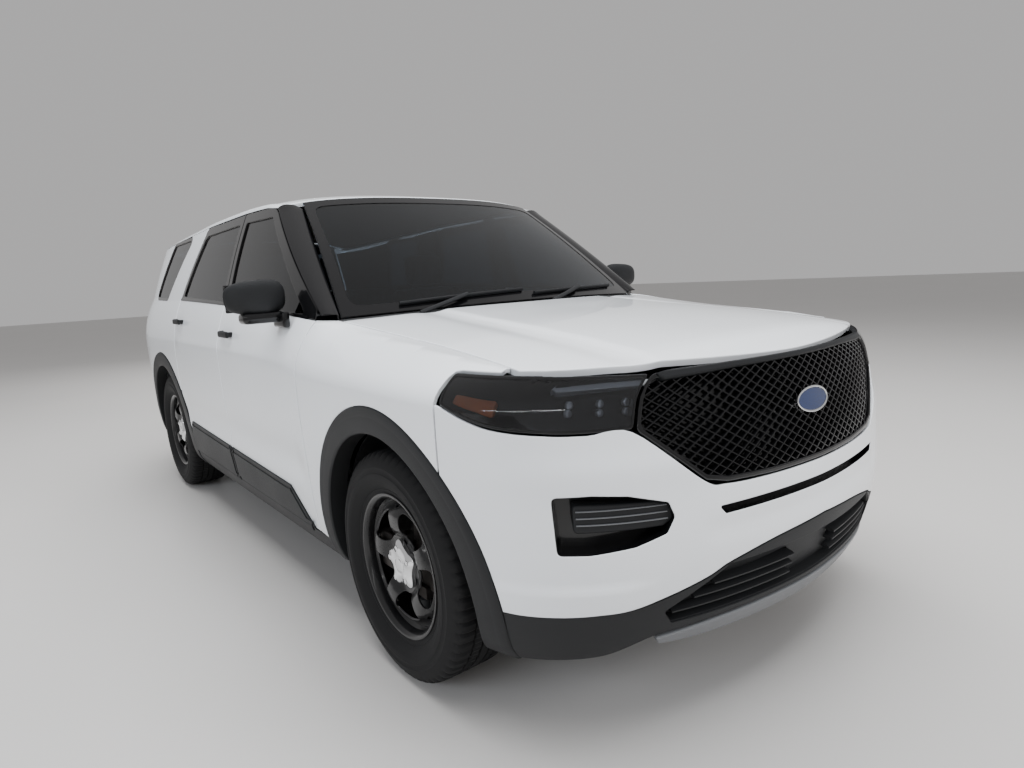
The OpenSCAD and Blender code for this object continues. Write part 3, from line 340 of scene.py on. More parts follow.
def hood_skin(a, b):
    """The hood with its raised middle and the creases beside it."""
    z = hood_z(a, b)
    v = np.clip((b + 2430) / 1200, 0, 1)
    line = 560 - 90 * v
    rise = 7 * ease((line - np.abs(a)) / 42) * ease((b + 2415) / 160) * (1 - 0.35 * v)
    valley = -5 * ridge(np.abs(a), line + 34, 46) * ease((b + 2415) / 200)
    return np.stack([a, b, z + rise + valley], -1)


def gate_skin(a, b):
    return np.stack([a, tail_at(a, b), b], -1)


def shield_skin(a, b):
    """The windshield: a from -1 to 1 across, b from 0 at the cowl to 1 at the roof."""
    low = np.stack([815 * a, GLASS_BASE[1] - 139 * (1 - a * a), COWL_Z - 6 - 17 * a * a], -1)
    x, y = 659 * a, GLASS_TOP[1] - 81 * (1 - a * a)
    high = np.stack([x, y, roof_z(x, y) - 3], -1)
    bulge = 14 * np.sin(np.pi * b)
    return low + (high - low) * b[..., None] + bulge[..., None] * np.array([0, -0.58, 0.81])


def normals_of(surface, a, b, step=0.5, turned=1):
    """Unit normals of a surface at flat points."""
    da = surface(a + step, b) - surface(a - step, b)
    db = surface(a, b + step) - surface(a, b - step)
    n = np.cross(da, db) * turned
    return n / np.maximum(np.linalg.norm(n, axis=-1, keepdims=True), 1e-9)


# ---- Outlines in the flat coordinates ----
def smooth(points, n=8, closed=False):
    """A smooth line through the points."""
    p = np.array(points, float)
    count = len(p)
    out = []
    for i in range(count if closed else count - 1):
        if closed:
            q = [p[(i + k) % count] for k in (-1, 0, 1, 2)]
        else:
            q = [p[max(i - 1, 0)], p[i], p[i + 1], p[min(i + 2, count - 1)]]
        for t in np.arange(n) / n:
            out.append(0.5 * (2 * q[1] + (q[2] - q[0]) * t
                              + (2 * q[0] - 5 * q[1] + 4 * q[2] - q[3]) * t**2
                              + (3 * q[1] - q[0] - 3 * q[2] + q[3]) * t**3))
    if not closed:
        out.append(p[-1])
    return [tuple(v) for v in out]


def rounded(points, radius, n=5):
    """The closed outline with its corners rounded."""
    p = [np.array(v, float) for v in points]
    out = []
    for i, b in enumerate(p):
        a, c = p[i - 1], p[(i + 1) % len(p)]
        u, v = a - b, c - b
        lu, lv = np.linalg.norm(u), np.linalg.norm(v)
        u, v = u / lu, v / lv
        cosine = float(np.clip(u @ v, -1, 1))
        half = math.acos(cosine) / 2
        if half > 1.5:
            out.append(tuple(b))
            continue
        cut = min(radius / math.tan(half), 0.45 * lu, 0.45 * lv)
        for k in range(n + 1):
            t = k / n
            out.append(tuple((1 - t) ** 2 * (b + u * cut) + 2 * t * (1 - t) * b + t**2 * (b + v * cut)))
    return out


def arch_line(y, r, a0, a1, n=48):
    """Points of a wheel arch, by angle from the front over the top to the back."""
    return [(y - r * math.cos(math.radians(a)), ARCH_Z + r * math.sin(math.radians(a)))
            for a in np.linspace(a0, a1, n)]


def inside(points, loop):
    """Which flat points lie inside a closed outline."""
    x, y = points[:, 0], points[:, 1]
    hit = np.zeros(len(points), bool)
    n = len(loop)
    for i in range(n):
        (x0, y0), (x1, y1) = loop[i], loop[(i + 1) % n]
        if y0 == y1:
            continue
        cross = (y0 > y) != (y1 > y)
        hit ^= cross & (x < (x1 - x0) * (y - y0) / (y1 - y0) + x0)
    return hit


def flat_sheet(outline, holes=(), step=25.0):
    """A flat mesh of squares cut along an outline and its holes."""
    lo = np.min(np.array(outline), 0) - 0.4
    hi = np.max(np.array(outline), 0) + 0.4
    nx, ny = (max(2, int(math.ceil(v))) for v in (hi - lo) / step)
    dx, dy = (hi[0] - lo[0]) / nx, (hi[1] - lo[1]) / ny
    bm = bmesh.new()
    grid = [[bm.verts.new((lo[0] + i * dx, lo[1] + j * dy, 0)) for i in range(nx + 1)]
            for j in range(ny + 1)]
    cells = {}
    for j in range(ny):
        for i in range(nx):
            cells[i, j] = [bm.faces.new((grid[j][i], grid[j][i + 1], grid[j + 1][i + 1], grid[j + 1][i]))]

    def cell_of(x, y):
        return (min(max(int((x - lo[0]) / dx), 0), nx - 1), min(max(int((y - lo[1]) / dy), 0), ny - 1))

    for loop in [outline, *holes]:
        for p, q in zip(loop, loop[1:] + loop[:1]):
            d = Vector((q[0] - p[0], q[1] - p[1], 0))
            if d.length < 1e-6:
                continue
            x0, x1 = sorted((p[0], q[0]))
            y0, y1 = sorted((p[1], q[1]))
            if x1 < lo[0] or x0 > hi[0] or y1 < lo[1] or y0 > hi[1]:
                continue
            a, b = cell_of(x0 - 0.2, y0 - 0.2), cell_of(x1 + 0.2, y1 + 0.2)
            near = {f for i in range(a[0], b[0] + 1) for j in range(a[1], b[1] + 1)
                    for f in cells[i, j] if f.is_valid}
            if not near:
                continue
            geom = list(near) + list({e for f in near
                                      for e in f.edges}) + list({v for f in near for v in f.verts})
            cut = bmesh.ops.bisect_plane(bm, geom=geom, dist=0.05, plane_co=(p[0], p[1], 0),
                                         plane_no=Vector((d.y, -d.x, 0)).normalized())
            for f in cut["geom"]:
                if isinstance(f, bmesh.types.BMFace) and f not in near:
                    c = f.calc_center_median()
                    cells[cell_of(c.x, c.y)].append(f)
    faces = list(bm.faces)
    mid = np.array([f.calc_center_median()[:2] for f in faces])
    keep = inside(mid, outline)
    for loop in holes:
        keep &= ~inside(mid, loop)
    bmesh.ops.delete(bm, geom=[f for f, k in zip(faces, keep) if not k], context="FACES")
    bmesh.ops.remove_doubles(bm, verts=bm.verts, dist=0.08)
    return bm


def turned(loop, anticlockwise=True):
    p = np.array(loop, float)
    q = np.roll(p, -1, 0)
    area = np.sum(p[:, 0] * q[:, 1] - q[:, 0] * p[:, 1])
    return loop if (area > 0) == anticlockwise else loop[::-1]


def shrunk(loop, d):
    """The loop moved by d to its left, which is into the sheet."""
    p = np.array(loop, float)
    p = p[np.linalg.norm(p - np.roll(p, 1, 0), axis=1) > 1e-6]
    e = np.roll(p, -1, 0) - p
    n = np.stack([-e[:, 1], e[:, 0]], 1) / np.linalg.norm(e, axis=1)[:, None]
    m = n + np.roll(n, 1, 0)
    m /= np.maximum(1 + np.sum(n * np.roll(n, 1, 0), 1), 0.35)[:, None]
    return [tuple(v) for v in p + m * d]


def unit(v):
    return v / np.maximum(np.linalg.norm(v, axis=-1, keepdims=True), 1e-9)


def mesh_piece(name, verts, faces, materials, normals=None, index=None):
    """A new object at the origin from points in millimetres."""
    mesh = bpy.data.meshes.new(name)
    mesh.from_pydata((np.asarray(verts) * MM).tolist(), [], faces)
    for m in materials:
        mesh.materials.append(m)
    if index is not None:
        mesh.polygons.foreach_set("material_index", index)
    mesh.polygons.foreach_set("use_smooth", [True] * len(mesh.polygons))
    if normals is not None:
        mesh.normals_split_custom_set(normals)
    obj = bpy.data.objects.new(name, mesh)
    bpy.context.scene.collection.objects.link(obj)
    return obj


def skin_geometry(surface, outline, holes=(), thick=14.0, edge=3.0, step=24.0, lift=0.0):
    """Points, faces, corner normals and inner-side marks of a panel with rounded edges."""
    ring = turned([tuple(p) for p in outline])
    cuts = [turned([tuple(p) for p in h], False) for h in holes]
    bm = flat_sheet(shrunk(ring, edge), [shrunk(h, edge) for h in cuts], step)
    bm.verts.index_update()
    flat = np.array([v.co[:2] for v in bm.verts])
    tops = [[v.index for v in f.verts] for f in bm.faces if f.calc_area() > 1e-4]
    after = {}
    for e in bm.edges:
        if len(e.link_faces) == 1:
            loop = e.link_loops[0]
            after.setdefault(loop.vert.index, loop.link_loop_next.vert.index)
    bm.free()
    before = {b: a for a, b in after.items()}
    rim = [v for v in after if v in before]
    order = {v: i for i, v in enumerate(rim)}
    e1 = unit(np.array([flat[v] - flat[before[v]] for v in rim]))
    e2 = unit(np.array([flat[after[v]] - flat[v] for v in rim]))
    out = np.stack([e1[:, 1] + e2[:, 1], -e1[:, 0] - e2[:, 0]], 1)
    out /= np.maximum(1 + np.sum(e1 * e2, 1), 0.35)[:, None]
    n_flat = normals_of(surface, flat[:, 0], flat[:, 1])
    top = surface(flat[:, 0], flat[:, 1]) + n_flat * lift
    under = top - n_flat * thick
    near = flat[rim]
    nr = n_flat[rim]
    away = surface(near[:, 0] + out[:, 0], near[:, 1] + out[:, 1]) - surface(near[:, 0], near[:, 1])
    away = unit(away - nr * np.sum(away * nr, 1)[:, None])
    rows, row_normals = [], []
    for angle, depth in [(30, None), (60, None), (90, None), (90, thick)]:
        a = math.radians(angle)
        p = near + out * edge * math.sin(a)
        n = normals_of(surface, p[:, 0], p[:, 1])
        d = edge * (1 - math.cos(a)) if depth is None else depth
        rows.append(surface(p[:, 0], p[:, 1]) + n * (lift - d))
        row_normals.append(unit(nr * math.cos(a) + away * math.sin(a)))
    count, m = len(flat), len(rim)
    verts = np.concatenate([top, under, *rows])
    faces, normals, inner = [], [], []
    for f in tops:
        faces.append(f)
        normals += [n_flat[v] for v in f]
        inner.append(0)
    for f in tops:
        faces.append([v + count for v in reversed(f)])
        normals += [-n_flat[v] for v in reversed(f)]
        inner.append(1)
    base = [2 * count + k * m for k in range(4)]
    for v in rim:
        w = after[v]
        if w not in order:
            continue
        i, j = order[v], order[w]
        at = [(v, w, nr[i], nr[j])] + [
            (base[k] + i, base[k] + j, row_normals[k][i], row_normals[k][j]) for k in range(4)]
        for (a, b, na, nb), (c, d, nc, nd) in zip(at, at[1:]):
            faces.append([b, a, c, d])
            normals += [nb, na, nc, nd]
            inner.append(0)
        faces.append([at[4][1], at[4][0], v + count, w + count])
        normals += [-nr[j], -nr[i], -nr[i], -nr[j]]
        inner.append(1)
    return verts, faces, np.array(normals), np.array(inner)


def mirrored(geometry):
    verts, faces, normals, inner = geometry
    turned_normals, k = [], 0
    for f in faces:
        turned_normals.append(normals[k:k + len(f)][::-1])
        k += len(f)
    return (verts * [-1, 1, 1], [f[::-1] for f in faces],
            np.concatenate(turned_normals) * [-1, 1, 1], inner)


def joined(*parts):
    verts, faces, normals, inner, k = [], [], [], [], 0
    for v, f, n, i in parts:
        verts.append(v)
        faces += [[a + k for a in g] for g in f]
        normals.append(n)
        inner.append(i)
        k += len(v)
    return np.concatenate(verts), faces, np.concatenate(normals), np.concatenate(inner)


def place(obj, body, slot, *nodes):
    """Says what a finished piece rides on and the nodes it stands for; the finish it is given is not used."""
    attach(obj, body)
    if nodes:
        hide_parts(*nodes)
    return obj


def put(name, geometry, body, slot, nodes=(), inner=None, paint=None):
    """Makes a piece from panel geometry, in the slot's finish unless another is named."""
    verts, faces, normals, marks = geometry
    paints = [finish(paint or slot)] + ([finish(inner)] if inner else [])
    obj = mesh_piece(name, verts, faces, paints, normals.tolist(), marks if inner else None)
    return place(obj, body, slot, *nodes)


def both(geometry):
    return joined(geometry, mirrored(geometry))


def sides(geometry, side):
    return geometry if side == "left" else mirrored(geometry)


# ---- Finishes ----
class Wire:
    """A number from a node, on which ordinary sums add Math nodes."""

    def __init__(self, recipe, socket):
        self.recipe, self.socket = recipe, socket

    def sum(self, operation, other, swapped=False):
        pair = (other, self) if swapped else (self, other)
        return self.recipe.node("ShaderNodeMath", {"operation": operation}, {0: pair[0], 1: pair[1]}).out()

    def __add__(self, other):
        return self.sum("ADD", other)

    __radd__ = __add__

    def __sub__(self, other):
        return self.sum("SUBTRACT", other)

    def __rsub__(self, other):
        return self.sum("SUBTRACT", other, True)

    def __mul__(self, other):
        return self.sum("MULTIPLY", other)

    __rmul__ = __mul__

    def limited(self):
        return self.recipe.node("ShaderNodeClamp", {}, {"Value": self}).out()


class Made:
    """A node that has been added, with its outputs as wires."""

    def __init__(self, recipe, node):
        self.recipe, self.node = recipe, node

    def out(self, key=0):
        return Wire(self.recipe, self.node.outputs[key])


class Recipe:
    """A material being put together; its place is the piece's own coordinates."""

    def __init__(self, name):
        self.material = bpy.data.materials.new(name)
        self.material.use_nodes = True
        self.tree = self.material.node_tree
        self.shader = self.tree.nodes["Principled BSDF"]
        self.place = self.node("ShaderNodeTexCoord").out("Object")

    def node(self, kind, settings=None, values=None):
        node = self.tree.nodes.new(kind)
        for key, value in (settings or {}).items():
            setattr(node, key, value)
        for key, value in (values or {}).items():
            if isinstance(value, Wire):
                self.tree.links.new(value.socket, node.inputs[key])
            else:
                node.inputs[key].default_value = value
        return Made(self, node)

    def noise(self, scale, detail=2.0, stretch=None):
        where = self.place
        if stretch:
            where = self.node("ShaderNodeMapping", {}, {"Vector": where, "Scale": stretch}).out()
        return self.node("ShaderNodeTexNoise", {}, {"Vector": where, "Scale": scale, "Detail": detail}).out()

    def mixed(self, share, a, b):
        return self.node("ShaderNodeMix", {"data_type": "RGBA"},
                         {"Factor": share, "A": (*a, 1), "B": (*b, 1)}).out("Result")

    def bumped(self, height, distance, strength=1.0):
        self.set("Normal", self.node("ShaderNodeBump", {}, {
            "Height": height, "Distance": distance, "Strength": strength}).out())

    def set(self, key, value):
        if isinstance(value, Wire):
            self.tree.links.new(value.socket, self.shader.inputs[key])
        else:
            self.shader.inputs[key].default_value = value


DARK = 0.05
DULL_SPECULAR = 0.28


def coated(name, colour, speckle, roughness, spread, coat, coat_roughness, grain, depth, metallic=0.0):
    """A painted, moulded or plated finish with fine grain and slight unevenness."""
    r = Recipe(name)
    patchy = r.noise(3.1, 4.0)
    fine = r.noise(grain, 3.0)
    dark = tuple(c * (1 - speckle) for c in colour)
    light = tuple(min(1.0, c * (1 + speckle)) for c in colour)
    r.set("Base Color", r.mixed((patchy * 0.6 + fine * 0.4).limited(), dark, light))
    r.set("Roughness", (roughness + (patchy - 0.5) * spread + (fine - 0.5) * spread).limited())
    r.set("Metallic", metallic)
    r.set("Coat Weight", coat)
    r.set("Coat Roughness", coat_roughness)
    if max(colour) < DARK:
        r.set("Specular IOR Level", DULL_SPECULAR)
    r.bumped(fine, depth)
    return r.material


def glass_finish(name, colour, roughness, haze, weight=1.0):
    r = Recipe(name)
    film = r.noise(5.0, 3.0)
    r.set("Base Color", r.mixed(film, tuple(c * 0.94 for c in colour), colour))
    r.set("Roughness", roughness + film * haze)
    r.set("Transmission Weight", weight)
    r.set("IOR", 1.5)
    return r.material


def cloth_finish(name, colour, pitch):
    """Woven cloth: two sets of threads crossing, with a little fuzz."""
    r = Recipe(name)
    across = r.node("ShaderNodeTexWave", {"bands_direction": "X"},
                    {"Vector": r.place, "Scale": 3.14 / pitch}).out()
    along = r.node("ShaderNodeTexWave", {"bands_direction": "DIAGONAL"},
                   {"Vector": r.place, "Scale": 2.2 / pitch}).out()
    fuzz = r.noise(400.0, 3.0)
    weave = across * 0.5 + along * 0.5
    r.set("Base Color", r.mixed((weave * 0.6 + fuzz * 0.4).limited(), tuple(c * 0.55 for c in colour),
                                colour))
    r.set("Roughness", 0.85 + (fuzz - 0.5) * 0.15)
    r.set("Sheen Weight", 0.3)
    r.bumped(weave + fuzz * 0.4, 0.0006)
    return r.material


def brushed(name, colour, roughness, stretch):
    r = Recipe(name)
    lines = r.noise(60.0, 4.0, stretch)
    stain = r.noise(6.0, 4.0)
    r.set("Base Color", r.mixed(stain, tuple(c * 0.6 for c in colour), colour))
    r.set("Roughness", (roughness + (lines - 0.5) * 0.25 + stain * 0.1).limited())
    r.set("Metallic", 1.0)
    r.bumped(lines, 0.0002)
    return r.material


# Each finish: colour, speckle, roughness and its spread, coat and its roughness, grain, depth and metal
FINISHES = {
    "body_paint": lambda n: coated(n, tuple(colours().paint), 0.01, 0.3, 0.05, 1.0, 0.03, 700, 0.00002),
    "dark_plastic": lambda n: coated(n, tuple(colours().plastic), 0.25, 0.5, 0.16, 0.0, 0.3, 1500, 0.00016),
    "gloss_black": lambda n: coated(n, (0.0035, 0.0035, 0.004), 0.3, 0.18, 0.06, 0.5, 0.04, 500, 0.00002),
    "silver_plastic": lambda n: coated(n, (0.2, 0.205, 0.215), 0.08, 0.46, 0.12, 0.0, 0.2, 900, 0.00006, 0.5),
    "tinted_glass": lambda n: glass_finish(n, tuple(0.28 * c for c in colours().glass), 0.0, 0.008),
    "clear_glass": lambda n: glass_finish(n, tuple(colours().glass), 0.0, 0.006),
    "smoked_lens": lambda n: glass_finish(n, (0.45, 0.47, 0.51), 0.0, 0.004),
    "red_lens": lambda n: glass_finish(n, (0.75, 0.02, 0.02), 0.06, 0.04, 0.6),
    "amber_lens": lambda n: coated(n, (0.95, 0.22, 0.03), 0.2, 0.2, 0.05, 1.0, 0.05, 200, 0.0004),
    "black_steel": lambda n: coated(n, (0.006, 0.006, 0.0065), 0.3, 0.3, 0.1, 0.5, 0.08, 220, 0.0001),
    "tyre_rubber": lambda n: coated(n, (0.009, 0.009, 0.0095), 0.35, 0.72, 0.2, 0.0, 0.3, 420, 0.0002),
    "cabin_trim": lambda n: coated(n, (0.03, 0.03, 0.032), 0.25, 0.62, 0.2, 0.0, 0.3, 900, 0.0002),
    "head_lining": lambda n: coated(n, (0.42, 0.41, 0.39), 0.08, 0.9, 0.1, 0.0, 0.3, 600, 0.0003),
    "seat_cloth": lambda n: cloth_finish(n, tuple(colours().cloth), 0.005),
    "structure_steel": lambda n: coated(n, (0.03, 0.03, 0.031), 0.5, 0.62, 0.3, 0.0, 0.3, 90, 0.0004),
    "cast_metal": lambda n: coated(n, (0.11, 0.1, 0.095), 0.5, 0.6, 0.25, 0.0, 0.3, 240, 0.0006, 0.8),
    "engine_alloy": lambda n: coated(n, (0.3, 0.3, 0.31), 0.3, 0.5, 0.25, 0.0, 0.3, 180, 0.0006, 0.9),
    "exhaust_steel": lambda n: brushed(n, (0.5, 0.47, 0.43), 0.38, (1, 14, 1)),
    "radiator_core": lambda n: brushed(n, (0.1, 0.1, 0.1), 0.5, (40, 1, 1)),
    "bright_metal": lambda n: coated(n, (0.86, 0.87, 0.88), 0.04, 0.1, 0.06, 0.0, 0.1, 300, 0.00002, 1.0),
    "mirror_glass": lambda n: coated(n, (0.7, 0.73, 0.76), 0.02, 0.02, 0.01, 0.0, 0.1, 300, 0.000005, 1.0),
    "badge_blue": lambda n: coated(n, tuple(colours().badge), 0.2, 0.18, 0.06, 1.0, 0.04, 300, 0.00003),
    "lamp_glow": lambda n: coated(n, (0.8, 0.83, 0.86), 0.05, 0.15, 0.06, 1.0, 0.05, 260, 0.0002, 0.5),
}


def finish(name):
    """The finish, made the first time it is asked for; the frame's own materials keep their names."""
    label = name + "_finish"
    return bpy.data.materials.get(label) or FINISHES[name](label)


# ---- Shapes other than panels ----
def lathe(profile, steps, radius_at=None):
    """A closed ring from a closed profile of [radius, outward] round the wheel axis."""
    p = np.array(profile, float)
    k = len(p)
    a = np.arange(steps) * 2 * np.pi / steps
    r = np.repeat(p[None, :, 0], steps, 0)
    if radius_at:
        r = radius_at(r, p[:, 1], np.arange(steps))
    x = np.repeat(p[None, :, 1], steps, 0)
    verts = np.stack([x, r * np.cos(a)[:, None], r * np.sin(a)[:, None]], -1).reshape(-1, 3)
    faces = [[i * k + j, i * k + (j + 1) % k, (i + 1) % steps * k + (j + 1) % k, (i + 1) % steps * k + j]
             for i in range(steps) for j in range(k)]
    return verts, faces


def sweep(points, normals, width, depth):
    """A bar with a chamfered front along points, standing out along the normals."""
    p, n = np.array(points, float), unit(np.array(normals, float))
    d = unit(np.gradient(p, axis=0))
    s = unit(np.cross(d, n))
    w, h = width / 2, depth
    section = [(-w, -h), (w, -h), (w, -0.3 * h), (0.45 * w, 0), (-0.45 * w, 0), (-w, -0.3 * h)]
    verts = np.concatenate([np.stack([q + s[i] * a + n[i] * b for a, b in section]) for i, q in enumerate(p)])
    k = len(section)
    faces = [[i * k + j, i * k + (j + 1) % k, (i + 1) * k + (j + 1) % k, (i + 1) * k + j]
             for i in range(len(p) - 1) for j in range(k)]
    faces += [list(range(k))[::-1], [(len(p) - 1) * k + j for j in range(k)]]
    return verts, faces


def tube(rings):
    """Points and faces of a closed bar through rings of points, with flat ends."""
    rings = np.array(rings)
    n, k = rings.shape[:2]
    faces = [[i * k + j, i * k + (j + 1) % k, (i + 1) * k + (j + 1) % k, (i + 1) * k + j]
             for i in range(n - 1) for j in range(k)]
    faces += [list(range(k))[::-1], [(n - 1) * k + j for j in range(k)]]
    return rings.reshape(-1, 3), faces


def stacked(parts):
    """Several point and face lists as one."""
    verts, faces, k = [], [], 0
    for v, f in parts:
        verts.append(v)
        faces += [[a + k for a in g] for g in f]
        k += len(v)
    return np.concatenate(verts), faces


def alone(obj):
    """Makes the object the only one selected, and active."""
    bpy.ops.object.select_all(action="DESELECT")
    obj.select_set(True)
    bpy.context.view_layer.objects.active = obj


def outward(obj):
    alone(obj)
    bpy.ops.object.mode_set(mode="EDIT")
    bpy.ops.mesh.select_all(action="SELECT")
    bpy.ops.mesh.remove_doubles(threshold=0.00002)
    bpy.ops.mesh.normals_make_consistent(inside=False)
    bpy.ops.object.mode_set(mode="OBJECT")


def solid(name, parts, paint, body, slot, *nodes, angle=35, side="left"):
    """A piece from plain points and faces, its faces turned outwards and smoothed."""
    verts, faces = parts if isinstance(parts, tuple) else stacked(parts)
    if side == "right":
        verts = verts * [-1, 1, 1]
    if side == "both":
        verts, faces = stacked([(verts, faces), (verts * [-1, 1, 1], faces)])
    obj = mesh_piece(name, verts, faces, [finish(paint)])
    outward(obj)
    bpy.ops.object.shade_smooth_by_angle(angle=math.radians(angle))
    return place(obj, body, slot, *nodes)


def shaped(obj, modifiers=()):
    """Applies the modifiers and the object's place, so that the place is in the mesh."""
    alone(obj)
    for kind, settings in modifiers:
        m = obj.modifiers.new(kind, kind)
        for key, value in settings.items():
            setattr(m, key, value)
        bpy.ops.object.modifier_apply(modifier=m.name)
    bpy.ops.object.transform_apply(location=True, rotation=True, scale=True)
    return obj


def soft_box(lo, hi, bevel, segments=4, taper=None):
    """Points and faces of a box with rounded edges, in millimetres."""
    lo, hi = np.array(lo, float), np.array(hi, float)
    bpy.ops.object.select_all(action="DESELECT")
    bpy.ops.mesh.primitive_cube_add(size=1, location=((lo + hi) / 2 * MM).tolist())
    obj = bpy.context.object
    obj.scale = ((hi - lo) * MM).tolist()
    shaped(obj)
    if taper:
        taper(obj)
    shaped(obj, [("BEVEL", {"width": bevel * MM, "segments": segments, "limit_method": "NONE"})])
    return taken(obj)


def taken(obj):
    """The mesh of a scratch object as points in millimetres and faces."""
    verts = np.array([v.co for v in obj.data.vertices], float) / MM
    faces = [list(p.vertices) for p in obj.data.polygons]
    mesh = obj.data
    bpy.data.objects.remove(obj)
    bpy.data.meshes.remove(mesh)
    return verts, faces


def round_bar(centre, radius, depth, axis, bevel, vertices=48, scale=(1, 1, 1)):
    """Points and faces of a short cylinder with rounded rims, in millimetres."""
    turn = {"x": (0, math.pi / 2, 0), "y": (math.pi / 2, 0, 0), "z": (0, 0, 0)}[axis]
    bpy.ops.object.select_all(action="DESELECT")
    bpy.ops.mesh.primitive_cylinder_add(vertices=vertices, radius=radius * MM, depth=depth * MM,
                                        rotation=turn)
    obj = shaped(bpy.context.object)
    shaped(obj, [("BEVEL", {"width": bevel * MM, "segments": 3, "limit_method": "ANGLE",
                            "angle_limit": math.radians(50)})])
    verts, faces = taken(obj)
    return verts * np.array(scale) + np.array(centre, float), faces


# ---- Lines shared by the panels, along the band or the car and up ----
def nose_a(x, z):
    """How far round from the middle of the nose the half width x lies."""
    return float(s_of_x(True, x, z)) - WRAP_F


def side_a(y):
    return y - WRAP_F


def on_nose(points):
    return [(nose_a(x, z) if kind == "x" else side_a(x), z) for kind, x, z in points]


def balanced(low, high):
    """A closed outline across the middle from the left half's lower and upper lines."""
    mirror = [(-a, z) for a, z in low[::-1] if a > 1]
    top = [(-a, z) for a, z in high if a > 1]
    return mirror + low + high[::-1] + top


BUMPER_HIGH = on_nose([("x", 0, 709), ("x", 230, 710), ("x", 400, 716), ("x", 480, 738),
                       ("x", 655, 887), ("x", 760, 889), ("x", 840, 893), ("y", FRONT_Y + 385, 907),
                       ("y", FRONT_Y + 460, 928), ("y", AXLE_F - 388, 957), ("y", AXLE_F - 363, 964)])
BUMPER_LOW = on_nose([("x", 0, 545), ("x", 230, 530), ("x", 400, 500), ("x", 480, 470),
                      ("x", 655, 424), ("x", 760, 418), ("x", 840, 416), ("y", FRONT_Y + 385, 415),
                      ("y", FRONT_Y + 460, 414), ("y", AXLE_F - 363, 413)])
VALANCE_LOW = on_nose([("x", 0, 331), ("x", 230, 330), ("x", 400, 326), ("x", 480, 322),
                       ("x", 600, 314), ("x", 700, 262), ("x", 820, 250), ("y", FRONT_Y + 385, 246),
                       ("y", FRONT_Y + 450, 246), ("y", AXLE_F - 430, 290), ("y", AXLE_F - 330, 330)])
LENS_LOW = on_nose([("x", 652, 895), ("x", 760, 895), ("x", 840, 899), ("y", FRONT_Y + 385, 913),
                    ("y", FRONT_Y + 460, 934), ("y", FRONT_Y + 545, 966)])
LENS_HIGH = on_nose([("x", 570, 1024), ("x", 690, 1030), ("x", 830, 1034), ("y", FRONT_Y + 345, 1036),
                     ("y", FRONT_Y + 440, 1039), ("y", FRONT_Y + 560, 1042)])
GRILLE_LOW = on_nose([("x", 0, 714), ("x", 230, 715), ("x", 400, 722), ("x", 470, 738), ("x", 644, 890)])
GRILLE_HIGH = on_nose([("x", 0, 1030), ("x", 230, 1031), ("x", 400, 1031), ("x", 500, 1030),
                       ("x", 563, 1024)])
FENDER_LOW = [(AXLE_F - 357, 745), (AXLE_F - 260, 700), (AXLE_F, 560), (AXLE_F + 300, DOOR_Z),
              (DOOR_Y0 - GAP / 2, DOOR_Z)]
FRONT_Y1 = DOOR_Y1 - GAP / 2
REAR_Y0 = DOOR_Y1 + GAP / 2
REAR_Y1 = DOOR_Y2 - GAP / 2


def head_point(y, up=0.0):
    return (y, float(head_z(y)) + up)


FRONT_TOP = [(DOOR_Y0 + 3, float(head_z(DOOR_Y0 + 3)) + 4), head_point(DOOR_Y0 + 250),
             head_point(DOOR_Y0 + 500),
             head_point(DOOR_Y0 + 620), head_point(DOOR_Y0 + 760), head_point(DOOR_Y0 + 900),
             head_point(FRONT_Y1)]
REAR_TOP = [head_point(REAR_Y0), head_point(REAR_Y0 + 220), head_point(REAR_Y0 + 430),
            head_point(REAR_Y1 - 285), (REAR_Y1 - 245, float(head_z(REAR_Y1)) - 50),
            (REAR_Y1 - 110, float(edge_z(REAR_Y1)) + 146), (REAR_Y1 - 15, float(edge_z(REAR_Y1)) + 18)]
FRONT_WINDOW = [(DOOR_Y0 + 92, float(edge_z(DOOR_Y0 + 92)) + 14),
                (FRONT_Y1 - 46, float(edge_z(DOOR_Y1)) + 16),
                (FRONT_Y1 - 46, RAIL_Z - 50), (DOOR_Y0 + 640, RAIL_Z - 55)]
REAR_WINDOW = [(REAR_Y0 + 46, float(edge_z(DOOR_Y1)) + 16), (REAR_Y1 - 66, float(edge_z(REAR_Y1)) + 22),
               (REAR_Y1 - 285, RAIL_Z - 78), (REAR_Y1 - 320, RAIL_Z - 60), (REAR_Y0 + 46, RAIL_Z - 50)]
QUARTER_WINDOW = [(REAR_Y - 1148, float(edge_z(REAR_Y - 1148)) + 12),
                  (REAR_Y - 807, float(edge_z(REAR_Y - 807)) + 14),
                  (REAR_Y - 1010, RAIL_Z - 78), (REAR_Y - 1033, RAIL_Z - 62), (REAR_Y - 1455, RAIL_Z - 55),
                  (REAR_Y - 1480, RAIL_Z - 68)]


def gate_s(z, out):
    return float(s_of_x(False, gate_x(z) + out, z))


def arch_hole(y, r):
    return arch_line(y, r, 0, 360, 97)[:-1]


def belt(y0, y1, up=0.0, n=14):
    return [(y, float(edge_z(y)) + up) for y in np.linspace(y0, y1, n)]


def grow(loop, d):
    """The closed outline made larger all round by d."""
    return shrunk(turned(list(loop)), -d)


